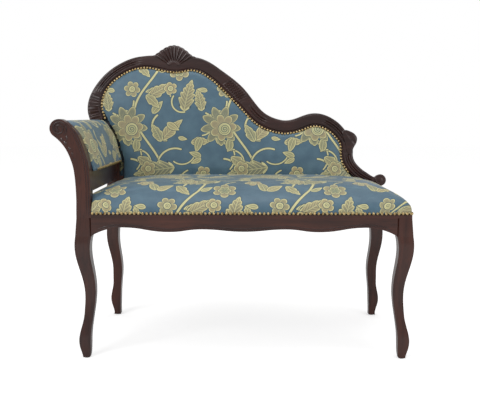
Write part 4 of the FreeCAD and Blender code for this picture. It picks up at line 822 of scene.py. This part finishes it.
CLEAR = 0.6
LEG_INNER, REAR_INNER = 415.0, 412.0
seat_mesh = bent_grid(240, 24, seat_form_place, closed=True)
seat_data = bpy.data.meshes.new("seat_form")
seat_mesh.to_mesh(seat_data)
seat_mesh.free()
seat_cutters = [box_cutter(seat_place(*low), seat_place(*high)) for low, high in (
    ((-500, -60, 380), (-LEG_INNER + CLEAR, 34 + CLEAR, 520)),
    ((-500, 398 - CLEAR, 380), (-REAR_INNER + CLEAR, 460, 520)),
    ((REAR_INNER - CLEAR, 398 - CLEAR, 380), (500, 460, 520)))]
seat_even = remeshed(seat_data, 6.0 * MM, seat_cutters)
print("seat form:", len(seat_even.vertices), "vertices")


# %% [markdown]
# The back pad and the arm pad are copied from the frame's solids, whose loose
# triangles are joined first, and then rebuilt with even faces like the seat.

# %% Back and arm forms
def copied_form(node, voxel, shrink):
    mesh = bmesh.new()
    mesh.from_mesh(nodes[node].data)
    bmesh.ops.remove_doubles(mesh, verts=mesh.verts, dist=0.00002)
    data = bpy.data.meshes.new(node + "_form")
    mesh.to_mesh(data)
    mesh.free()
    return remeshed(data, voxel)


back_even = copied_form("back_pad", 6.0 * MM, 0.0)
arm_even = copied_form("arm_pad", 5.0 * MM, 0.0)
print("back form:", len(back_even.vertices), "arm form:", len(arm_even.vertices))

# %% [markdown]
# Each form is held where the real cover is tacked, blown up by a light pressure with
# no gravity for twenty steps, and no point may move further than its cap. What is free
# first draws in along its normal, so the pads swell back to their real size with the
# soft pull towards their edges that flat shapes lack.

# %% Cloth pressure
def held_seat(point):
    x = (point.x - MIDDLE_X) / MM
    y = (point.y - FRONT_Y) / MM
    rise = point.z / MM - NAIL_LINE
    by_post = x < -LEG_INNER + 3.0 and y < 44.0
    return rise < 5.0 or by_post or (rise < 40.0 and y > SEAT_BACK - 6.0)


def held_back(point):
    x, through, rise = back_drawing(point)
    return through > -1.2


def held_arm(point):
    y = (point.y - FRONT_Y) / MM
    x, z = (point.x - MIDDLE_X) / MM, point.z / MM
    return y < 40.0 or y > HINGE_Y - 8.0 or x < -SEAT_HALF - 30.0 or z < 526.0 or x < -424.0 and z < 590.0


def pressed(data, name, held, draw_in, cap):
    """Prepares a form for the press: a held group, and free points drawn in."""
    form = bpy.data.objects.new(name, data)
    scene.collection.objects.link(form)
    group = form.vertex_groups.new(name="held")
    still = [held(v.co) for v in data.vertices]
    group.add([i for i, s in enumerate(still) if s], 1.0, "REPLACE")
    normals = [v.normal.copy() for v in data.vertices]
    for vertex, fixed, normal in zip(data.vertices, still, normals):
        if not fixed:
            vertex.co -= normal * draw_in
    cloth = form.modifiers.new("cloth", "CLOTH")
    settings = cloth.settings
    settings.quality = 4
    settings.mass = 0.25
    settings.use_pressure = True
    settings.uniform_pressure_force = 4.0
    settings.vertex_group_mass = "held"
    settings.effector_weights.gravity = 0.0
    settings.tension_stiffness = 20.0
    settings.compression_stiffness = 20.0
    settings.bending_stiffness = 1.5
    cloth.point_cache.frame_start = 1
    cloth.point_cache.frame_end = 20
    return form, cap


def pulled(forms, steps):
    """Runs the press on all forms together and returns their meshes, each move capped."""
    for step in range(1, steps + 1):
        scene.frame_set(step)
    graph = bpy.context.evaluated_depsgraph_get()
    meshes = []
    for form, cap in forms:
        swollen = form.evaluated_get(graph).to_mesh()
        moves = [(b.co - a.co) for a, b in zip(form.data.vertices, swollen.vertices)]
        outward = [v.normal.copy() for v in form.data.vertices]
        for vertex, move, normal in zip(form.data.vertices, moves, outward):
            move -= normal * min(0.0, move.dot(normal))
            vertex.co += move if move.length < cap else move.normalized() * cap
        print(form.name, "largest move, mm:", round(max(m.length for m in moves) / MM, 1))
        data = form.data
        bpy.data.objects.remove(form)
        meshes.append(data)
    return meshes


forms = [pressed(seat_even, "seat_form", held_seat, 0.0, 5.5 * MM),
         pressed(back_even, "back_form", held_back, 5.0 * MM, 6.0 * MM),
         pressed(arm_even, "arm_form", held_arm, 3.0 * MM, 3.5 * MM)]
seat_data, back_data, arm_data = pulled(forms, 20)
scene.frame_set(1)

# %% [markdown]
# The cloth needs flat coordinates in metres, as if it were laid out on a table. On the
# back that is its drawing plane. On the seat and the arm the cover rolls over an edge,
# so the coordinate follows the edge: a few points along the pad's own outline are
# joined, and each vertex takes the length along them to its nearest place.

# %% Laying the pattern on the pads
def unroll(outline, across, up):
    """Length along an outline to the place nearest a point, all in millimetres."""
    best, travelled, answer = 1e9, 0.0, 0.0
    for (x0, y0), (x1, y1) in zip(outline, outline[1:]):
        dx, dy = x1 - x0, y1 - y0
        length = math.hypot(dx, dy)
        share = min(1.0, max(0.0, ((across - x0) * dx + (up - y0) * dy) / (length * length)))
        gap = math.hypot(x0 + dx * share - across, y0 + dy * share - up)
        if gap < best:
            best, answer = gap, travelled + length * share
        travelled += length
    return answer


SEAT_PROFILE = [(0, 404), (-3, 416), (1.5, 430), (15, 445), (40, 460), (76, 471), (118, 477), (165, 480),
                (356, 480), (388, 477), (398, 471), (402, 450), (402, 404)]
SEAT_SIDE = [(-453, 404), (-456, 416), (-451.5, 430), (-438, 445), (-413, 460), (-377, 471), (-335, 477),
             (-288, 480)]
SEAT_SIDE = SEAT_SIDE + [(-x, z) for x, z in reversed(SEAT_SIDE)]
ARM_OUTLINE = [(-401, 520), (-402, 535), (-408, 552), (-416, 580), (-430, 615), (-448, 640), (-470, 655),
               (-494, 657), (-512, 648), (-516, 636)]


def lay_pattern(data, flat):
    """Writes a UV map in metres; flat gives the two lengths, in millimetres, for a vertex."""
    layer = data.uv_layers.new(name="cloth")
    places = [flat(v.co) for v in data.vertices]
    for corner in data.loops:
        u, v = places[corner.vertex_index]
        layer.data[corner.index].uv = (u * MM, v * MM)


def seat_flat(point):
    x = (point.x - MIDDLE_X) / MM
    y = (point.y - FRONT_Y) / MM
    z = point.z / MM
    return unroll(SEAT_SIDE, x, z) + 118.0, unroll(SEAT_PROFILE, y, z) - 46.0


def back_flat(point):
    x, through, rise = back_drawing(point)
    return x + 466.0, rise + 14.0


def arm_flat(point):
    return (point.y - FRONT_Y) / MM * 0.92 + 20.0, unroll(
        ARM_OUTLINE, (point.x - MIDDLE_X) / MM, point.z / MM) + 170.0


pads = []
for pad_name, data, flat, node_names, fill in (
        ("seat_cushion", seat_data, seat_flat, ("seat_cover", "seat_foam"), 0.8),
        ("back_cushion", back_data, back_flat, ("back_pad",), 0.7),
        ("arm_cushion", arm_data, arm_flat, ("arm_pad",), 0.7)):
    lay_pattern(data, flat)
    pad = finish_piece(pad_name, data, cover_cloth, node_names, crease=180.0)
    finer = pad.modifiers.new("finer", "SUBSURF")
    finer.levels = 1
    finer.render_levels = 1
    pads.append(pad)
    print(pad_name, len(data.vertices), "vertices before its subdivision")

# %% [markdown]
# The back frame is one moulded rail made of two pieces. Its middle line runs through a
# short table of nodes: across, up the raked plane, heading and width, all as drawn. The
# line is a smooth curve through them, and the face carries its carving as a depth that
# depends on the place across the face and along the line.

# %% Rail line
RAIL_NODES = [(-491, 279, 107, 47), (-461, 383, 50, 35), (-399, 432, 28, 35), (-338, 451, 6, 37),
              (-285, 449, -12, 43), (-229, 439, -3, 43), (-174, 446, -3, 43), (-99, 414, -37, 42),
              (-30, 355, -44, 50), (38, 278, -46, 43), (115, 239, -12, 42), (171, 244, 18, 41),
              (227, 261, 3, 41), (289, 240, -36, 39), (326, 199, -57, 36), (336, 150, -94, 38),
              (354, 102, -49, 36), (387, 73, -32, 37), (424, 57, -12, 30)]
SCARF_NODE = 9
HEEL_LENGTH = 23.0


def eased(share):
    return share * share * (3.0 - 2.0 * share)


def rail_stations(first, last, step):
    """Places along the rail: node share, middle point, direction, half width, length so far."""
    stations = []
    for index in range(first, last):
        x0, v0, turn0, width0 = RAIL_NODES[index]
        x1, v1, turn1, width1 = RAIL_NODES[index + 1]
        start, end = Vector((x0, v0, 0.0)), Vector((x1, v1, 0.0))
        reach = (end - start).length / 2.9
        leave = Vector((math.cos(math.radians(turn0)), math.sin(math.radians(turn0)), 0.0)) * reach
        arrive = Vector((math.cos(math.radians(turn1)), math.sin(math.radians(turn1)), 0.0)) * reach
        count = max(4, round((end - start).length / step))
        curve = interpolate_bezier(start, start + leave, end - arrive, end, count + 1)
        for k in range(count + (1 if index == last - 1 else 0)):
            width = width0 + (width1 - width0) * eased(k / count)
            stations.append([index + k / count, curve[k], width / 2.0])
    if first == 0:
        x, v, turn, width = RAIL_NODES[0]
        back = Vector((math.cos(math.radians(turn)), math.sin(math.radians(turn)), 0.0)) * HEEL_LENGTH
        stations = [[-0.01 * k, Vector((x, v, 0.0)) - back * (k / 9.0), width / 2.0] for k in range(9, 0, -1)] + stations
    travelled = 0.0
    result = []
    for k, (node, point, half) in enumerate(stations):
        before = stations[max(k - 1, 0)][1]
        after = stations[min(k + 1, len(stations) - 1)][1]
        travelled += (point - before).length
        result.append((node, point, (after - before).normalized(), half, travelled))
    return result


def bump(at, middle, width):
    return math.exp(-((at - middle) / width) ** 2)


def fade(at, start, full, hold, end):
    """0 before start, 1 between full and hold, 0 after end, eased between."""
    rising = eased(min(1.0, max(0.0, (at - start) / (full - start))))
    falling = eased(min(1.0, max(0.0, (end - at) / (end - hold))))
    return min(rising, falling)


# Carved zones along the line, by node share: reeds, cross gadroons and leafy ribs
REEDED = [(0.62, 0.95, 2.4, 3.1), (8.55, 8.8, 9.25, 9.7), (12.35, 12.7, 14.0, 14.5), (14.9, 15.2, 17.6, 17.95)]
RIBBED = [(7.45, 7.6, 8.25, 8.5)]
GADROONED = (-1.0, -0.5, 0.5, 0.7)


def carved_height(node, across, travelled):
    """How far the face stands proud of its plane, in millimetres; across runs 0 outer to 1 inner."""
    crown = 1.6 * (1.0 - (2.0 * across - 0.85) ** 2)
    height = crown - 2.0 * bump(across, 0.9, 0.035)
    for zone in REEDED:
        reed = fade(node, *zone)
        for middle, depth in ((0.26, 2.2), (0.45, 2.9), (0.64, 2.6)):
            height -= reed * depth * bump(across, middle, 0.045)
    for zone in RIBBED:
        rib = fade(node, *zone)
        slant = travelled + 13.0 * across
        height += rib * (1.9 * math.sin(slant * 2.0 * math.pi / 8.6) - 0.6) * fade(across, 0.05, 0.25, 0.7, 0.92)
    gadroon = fade(node, *GADROONED)
    height += gadroon * 1.5 * math.sin(travelled * 2.0 * math.pi / 9.5) * fade(across, 0.02, 0.2, 0.75, 0.9)
    plain_lines = 1.0 - fade(node, 3.2, 3.9, 6.2, 7.0)
    return height - 0.8 * plain_lines * bump(across, 0.13, 0.03)


FACE_STEPS = 40
ROUND_OVER = 5.5


def rail_ring(node, half, travelled):
    """The rail's section as pairs of sideways and through distances, all the way round."""
    ring = []
    for k in range(FACE_STEPS + 1):
        share = k / FACE_STEPS
        edge = min(share, 1.0 - share) * 2.0 * half
        radius = ROUND_OVER if share < 0.5 else 2.2
        drop = radius - math.sqrt(max(0.0, radius ** 2 - (radius - min(edge, radius)) ** 2))
        ring.append((half * (1.0 - 2.0 * share), drop - carved_height(node, share, travelled) * min(1.0, edge / 4.0)))
    ring += [(-half, 8.0), (-half, 26.0), (-half + 2.0, BACK_THICK), (half - 5.0, BACK_THICK),
             (half - 1.4, 26.5), (half, 23.0), (half, 14.0)]
    return ring + ring[:1]


def rail_piece(name, first, last, nodes_for):
    stations = rail_stations(first, last, 2.6)
    rings = [rail_ring(node, half, travelled) for node, point, along, half, travelled in stations]

    def place(share_around, share_along):
        index = round(share_along * (len(stations) - 1))
        node, point, along, half, travelled = stations[index]
        sideways, through = rings[index][round(share_around * (len(rings[index]) - 1))]
        return back_place(point.x - along.y * sideways, through, point.y + along.x * sideways)

    mesh = bent_grid(len(rings[0]) - 1, len(stations) - 1, place, closed=True)
    print(name, len(mesh.faces), "faces")
    return finish_piece(name, mesh, carved_wood, nodes_for, crease=50.0)


rail_piece("crest_moulding", 0, SCARF_NODE, ("crest_rail",))
rail_piece("sweep_moulding", SCARF_NODE, len(RAIL_NODES) - 1, ("sweep_rail",))

# %% [markdown]
# A fan shell crowns the arch. It is a bent grid in polar form: each share across turns
# about a focus low on the rail, each share along runs out to a scalloped rim, and the
# flutes are hollows between narrow ridges. A knuckle and a round knob end the low side.

# %% Shell, knuckle and knob
SHELL_FOCUS = (-232.0, 428.0)
SHELL_RIM = [(-308, 466), (-290, 476), (-272, 489), (-252, 500), (-232, 504), (-212, 499), (-193, 487),
             (-176, 472), (-160, 464)]
FLUTES = 11


def rim_point(share):
    place = share * (len(SHELL_RIM) - 1)
    rows = [(float(k), x, v) for k, (x, v) in enumerate(SHELL_RIM)]
    return smooth_row(rows, place)


def shell_place(share, out):
    x, v = rim_point(share)
    lobe = abs(math.sin(math.pi * FLUTES * share))
    reach = 0.18 + 0.82 * out
    scallop = 1.0 + 0.022 * lobe * out
    px = SHELL_FOCUS[0] + (x - SHELL_FOCUS[0]) * reach * scallop
    pv = SHELL_FOCUS[1] + (v - SHELL_FOCUS[1]) * reach * scallop
    edge = fade(out, -0.2, 0.12, 0.9, 1.0) * fade(share, 0.0, 0.06, 0.94, 1.0)
    proud = edge * (4.2 + 3.0 * out - 3.4 * lobe ** 0.7 * fade(out, 0.08, 0.35, 1.2, 1.3))
    return back_place(px, 1.0 - proud, pv)


shell_mesh = bent_grid(FLUTES * 12, 26, shell_place, capped=False)
rim_edges = [e for e in shell_mesh.edges if e.is_boundary]
backing = bmesh.ops.extrude_edge_only(shell_mesh, edges=rim_edges)
for item in backing["geom"]:
    if isinstance(item, bmesh.types.BMVert):
        x, through, rise = back_drawing(item.co)
        item.co = back_place(x, 26.0 if rise > 455.0 else 3.0, rise)
bmesh.ops.holes_fill(shell_mesh, edges=[e for e in shell_mesh.edges if e.is_boundary], sides=0)
bmesh.ops.recalc_face_normals(shell_mesh, faces=shell_mesh.faces)
print("shell faces:", len(shell_mesh.faces))
finish_piece("fan_shell", shell_mesh, carved_wood, crease=55.0)


def cushioned_outline(name, outline, proud, back, rounding=5.0, carve=None):
    """A proud block with a rounded face from a closed outline, by rings drawn towards its middle."""
    middle = Vector((sum(p[0] for p in outline) / len(outline), sum(p[1] for p in outline) / len(outline)))
    rows = [(1.0, back), (1.0, rounding * 0.9 - proud), (0.975, rounding * 0.4 - proud), (0.93, 0.8 - proud),
            (0.86, -proud), (0.7, -proud - 0.5), (0.5, -proud - 0.9), (0.3, -proud - 1.1), (0.08, -proud - 1.2)]

    def place(around, inward):
        k = around * len(outline)
        first, second = outline[int(k) % len(outline)], outline[(int(k) + 1) % len(outline)]
        part = k - int(k)
        edge = Vector((first[0] + (second[0] - first[0]) * part, first[1] + (second[1] - first[1]) * part))
        scale, through = rows[round(inward * (len(rows) - 1))]
        point = middle + (edge - middle) * scale
        if carve and scale < 0.95:
            through += carve(point.x, point.y, scale)
        return back_place(point.x, through, point.y)

    mesh = bent_grid(len(outline), len(rows) - 1, place, closed=True)
    return finish_piece(name, mesh, carved_wood, crease=60.0)


def smooth_outline(corners, count):
    """A closed smooth curve through a few corners."""
    total = len(corners)
    rows = [(float(k),) + corners[(k + total) % total] for k in range(-2, total + 3)]
    return [tuple(smooth_row(rows, total * k / count)) for k in range(count)]


KNUCKLE_CORNERS = [(318, 222), (332, 226), (347, 221), (360, 213), (368, 200), (366, 184), (358, 170),
                   (350, 152), (342, 142), (334, 152), (330, 175), (322, 200)]


def knuckle_crease(x, v, scale):
    return 1.8 * bump((x - 350.0) * 0.8 + (v - 196.0) * 0.6, 0.0, 2.2) * fade(scale, 0.0, 0.2, 0.9, 1.0)


cushioned_outline("knuckle", smooth_outline(KNUCKLE_CORNERS, 72), 3.2, 26.0, carve=knuckle_crease)
KNOB = (443.0, 62.0, 19.0)
knob_outline = [(KNOB[0] + KNOB[2] * math.cos(2.0 * math.pi * k / 56), KNOB[1] + KNOB[2] * math.sin(2.0 * math.pi * k / 56))
                for k in range(56)]


def knob_ring(x, v, scale):
    return 2.0 * bump(scale, 0.5, 0.06)


cushioned_outline("terminal_knob", knob_outline, 4.0, 26.0, carve=knob_ring)

# %% [markdown]
# The arm post keeps the frame's own solid and gains its carving as thin relief: a bead
# that follows the inner edge from the knee to the scroll, a second one beside it, a
# spiral on the scroll and a string of husks below it.

# %% Carving on the arm post
def bead_strip(name, path, half, proud, plane=0.0):
    """A half-round strip on a front plane along points (x, z) in millimetres."""
    count = len(path)

    def place(around, along):
        index = round(along * (count - 1))
        x, z = path[index]
        bx, bz = path[max(index - 1, 0)]
        ax, az = path[min(index + 1, count - 1)]
        length = math.hypot(ax - bx, az - bz)
        nx, nz = -(az - bz) / length, (ax - bx) / length
        turn = math.pi * around
        taper = min(1.0, 0.25 + min(index, count - 1 - index) / 6.0)
        offset = half * math.cos(turn) * taper
        return seat_place(x + nx * offset, plane + 0.4 - (proud + 0.4) * math.sin(turn) * taper, z + nz * offset)

    mesh = bent_grid(8, count - 1, place, capped=False)
    bmesh.ops.holes_fill(mesh, edges=[e for e in mesh.edges if e.is_boundary], sides=0)
    bmesh.ops.recalc_face_normals(mesh, faces=mesh.faces)
    return finish_piece(name, mesh, carved_wood, crease=60.0)


SCROLL_X, SCROLL_Z, SCROLL_RADIUS = -494.5, 636.0, 25.0
POST_EDGE = [(398.0, -415.0), (440.0, -415.0), (494.0, -415.0), (522.0, -417.0), (550.0, -420.0),
             (572.0, -426.0), (592.0, -433.0), (610.0, -440.5), (627.0, -449.0), (641.0, -461.0), (652.0, -474.0)]


def edge_path(inset, low, high):
    """The post's inner edge moved outward by an inset."""
    points = []
    for k in range(61):
        z = low + (high - low) * k / 60
        x = smooth_row(POST_EDGE, z)[0]
        slope = (smooth_row(POST_EDGE, min(z + 2.0, 652.0))[0] - smooth_row(POST_EDGE, z - 2.0)[0]) / 4.0
        length = math.hypot(1.0, slope)
        points.append((x - inset / length, z + inset * slope / length))
    return points


bead_strip("post_bead_inner", edge_path(4.5, 400.0, 648.0), 2.2, 1.7)
bead_strip("post_bead_outer", edge_path(11.0, 400.0, 640.0), 1.3, 1.0)
spiral = []
for k in range(90):
    turn = math.radians(-60.0 + 720.0 * k / 89)
    radius = 20.5 - 16.0 * k / 89
    spiral.append((SCROLL_X + radius * math.cos(turn), SCROLL_Z + radius * math.sin(turn)))
bead_strip("scroll_spiral", spiral, 2.6, 2.4)


def drop_shape(name, x, z, length, width, lean, proud):
    """A small rounded husk: an egg flattened on the front plane."""
    def place(around, inward):
        turn = 2.0 * math.pi * around
        swell = math.sin(math.pi * 0.5 * inward)
        along = length * 0.5 * math.cos(turn) * (1.0 - swell * 0.97)
        aside = width * 0.5 * math.sin(turn) * (1.0 - 0.35 * math.cos(turn)) * (1.0 - swell * 0.97)
        angle = math.radians(lean)
        return seat_place(x + along * math.cos(angle) - aside * math.sin(angle), 0.4 - proud * swell,
                          z + along * math.sin(angle) + aside * math.cos(angle))

    mesh = bent_grid(18, 6, place, closed=True)
    return finish_piece(name, mesh, carved_wood, crease=70.0)


for index, (x, z, length, width, lean) in enumerate([
        (-486, 606, 15, 9, -30), (-474, 611, 13, 8, -100), (-478, 597, 14, 9, -66), (-467, 582, 12, 7, -66),
        (-460, 568, 10, 6, -70), (-454, 554, 8, 5, -74)]):
    drop_shape("husk_%d" % index, x, z, length, width, lean, 2.6)

# %% [markdown]
# Two thin beads line the apron above its shaped edge.

# %% Apron beads
APRON_HALF = [(-1.0, -60.0), (-0.966, -51.0), (-0.9, -40.0), (-0.798, -35.0), (-0.64, -41.0), (-0.49, -47.5),
              (-0.38, -44.0), (-0.275, -40.0), (-0.13, -43.5), (0.0, -46.5)]


def apron_path(lift):
    rows = [(share * 415.0, drop) for share, drop in APRON_HALF]
    rows += [(-x, drop) for x, drop in reversed(rows[:-1])]
    return [(x, 404.0 + smooth_row(rows, x)[0] + lift) for x in [-404.0 + 808.0 * k / 160 for k in range(161)]]


bead_strip("apron_bead", apron_path(8.0), 1.6, 1.2)
bead_strip("apron_edge_bead", apron_path(3.0), 1.2, 0.8)

# %% [markdown]
# Brass nails hold the covers: a low dome is drawn once and repeated along each edge,
# turned to face out of the surface it is driven into.

# %% Brass nails
def nail_template(radius, rise):
    def place(around, inward):
        turn = 2.0 * math.pi * around
        lift = math.pi * 0.5 * inward
        return Vector((radius * math.cos(turn) * math.cos(lift * 0.96), radius * math.sin(turn) * math.cos(lift * 0.96),
                       rise * math.sin(lift))) * MM

    mesh = bent_grid(10, 3, place, closed=True)
    data = bpy.data.meshes.new("nail")
    mesh.to_mesh(data)
    mesh.free()
    return data


nail = nail_template(4.1, 2.6)


def nail_row(name, places):
    """One object of nails; each place is a point and the direction its head faces."""
    mesh = bmesh.new()
    for point, facing in places:
        head = nail.copy()
        head.transform(Matrix.Translation(point) @ facing.to_track_quat("Z", "Y").to_matrix().to_4x4())
        mesh.from_mesh(head)
        bpy.data.meshes.remove(head)
    print(name, len(places), "nails")
    return finish_piece(name, mesh, brass, crease=180.0)


def spaced(points, pitch):
    """Points set out evenly along a chain of points, about a pitch apart."""
    lengths = [0.0]
    for a, b in zip(points, points[1:]):
        lengths.append(lengths[-1] + (b - a).length)
    count = max(1, round(lengths[-1] / pitch))
    result = []
    index = 0
    for k in range(count + 1):
        target = lengths[-1] * k / count
        while index < len(points) - 2 and lengths[index + 1] < target:
            index += 1
        share = (target - lengths[index]) / max(1e-9, lengths[index + 1] - lengths[index])
        result.append(points[index].lerp(points[index + 1], min(1.0, share)))
    return result


PITCH = 11.3 * MM
FRONTWARD = Vector((0.0, -1.0, 0.0))
LEANED_FRONT = (back_place(0, -1.0, 0) - back_place(0, 0.0, 0)).normalized()
back_edge = [back_place(p.x + a.y * (half + 3.2), -0.6, p.y - a.x * (half + 3.2))
             for node, p, a, half, run in rail_stations(0, 16, 6.0)]
nail_row("back_nails", [(p, LEANED_FRONT) for p in spaced(back_edge, 9.8 * MM)])
front_line = [seat_place(-410.0, -2.2, 407.5), seat_place(451.0, -2.2, 407.5)]
right_line = [seat_place(455.2, 6.0, 407.5), seat_place(455.2, 396.0, 407.5)]
left_line = [seat_place(-455.2, 40.0, 407.5), seat_place(-455.2, 396.0, 407.5)]
seat_places = [(p, FRONTWARD) for p in spaced(front_line, PITCH)]
seat_places += [(p, Vector((1.0, 0.0, 0.0))) for p in spaced(right_line, PITCH)]
seat_places += [(p, Vector((-1.0, 0.0, 0.0))) for p in spaced(left_line, PITCH)]
nail_row("seat_nails", seat_places)
arm_line = [seat_place(-401.0, 42.0, 524.5), seat_place(-400.6, 404.0, 524.5)]
nail_row("arm_nails", [(p, Vector((1.0, 0.0, 0.0))) for p in spaced(arm_line, 8.5 * MM)])

# %% [markdown]
# The cover turns under the arm's roll and is closed to the outside panel: a band of the
# same cloth follows the round rail from the pad's outer edge down to the panel's top,
# and a row of nails runs along it.

# %% Cloth under the roll
def roll_point(angle, radius, y):
    turn = math.radians(angle)
    return seat_place(SCROLL_X + radius * math.cos(turn), y, SCROLL_Z + radius * math.sin(turn))


def wrap_place(around, along):
    share = 2.0 * around if around < 0.5 else 2.0 - 2.0 * around
    angle = 177.0 + 62.0 * share
    radius = 21.5 - 1.1 * share if around < 0.5 else 15.2
    far_end = 409.4 + 0.1405 * (SCROLL_Z + radius * math.sin(math.radians(angle)) - 400.0)
    return roll_point(angle, radius, 34.6 + (far_end - 34.6) * along)


finish_piece("arm_wrap", bent_grid(31, 30, wrap_place, closed=True), side_cloth)
wrap_line = [roll_point(233.0, 20.4, 42.0), roll_point(233.0, 20.4, 432.0)]
out_and_down = Vector((math.cos(math.radians(228.0)), 0.0, math.sin(math.radians(228.0))))
nail_row("arm_wrap_nails", [(p, out_and_down) for p in spaced(wrap_line, PITCH)])

# %% [markdown]
# Behind the seat the cover is drawn over the rear rail and under the back's lower rail,
# so that no light comes up between the seat and the back.

# %% Flap behind the seat
def flap_place(around, along):
    corners = [(398.0, 430.1), (436.0, 430.1), (436.0, 432.3), (398.0, 432.3)]
    y, z = corners[round(around * 4.0) % 4]
    return seat_place(-411.8 + 823.6 * along, y, z)


finish_piece("seat_back_flap", bent_grid(4, 12, flap_place, closed=True), back_cloth)

# %% [markdown]
# Every part of the frame that is still shown gets its own finish here: stained wood,
# bare wood where the cover hides it, cloth, jute, steel and nylon.

# %% Finish
HIDDEN = {"lower_back_rail": wood_across, "arm_roll_rail": bare_wood, "seat_brace": bare_wood, "dowels": bare_wood,
          "corner_block_back_left": bare_wood, "corner_block_back_right": bare_wood,
          "corner_block_front_left": bare_wood, "corner_block_front_right": bare_wood,
          "block_screws": steel, "foot_glides": glide_nylon, "dust_cloth": black_cloth,
          "seat_deck_cloth": black_cloth, "back_deck_cloth": black_cloth, "seat_webbing_front_to_back": jute,
          "seat_webbing_side_to_side": jute, "back_webbing": jute, "outside_back_panel": back_cloth,
          "arm_outside_panel": side_cloth}
for name, node in nodes.items():
    material = HIDDEN.get(name, wood_across if "rail" in name else wood_upright)
    node.data.materials.clear()
    node.data.materials.append(material)
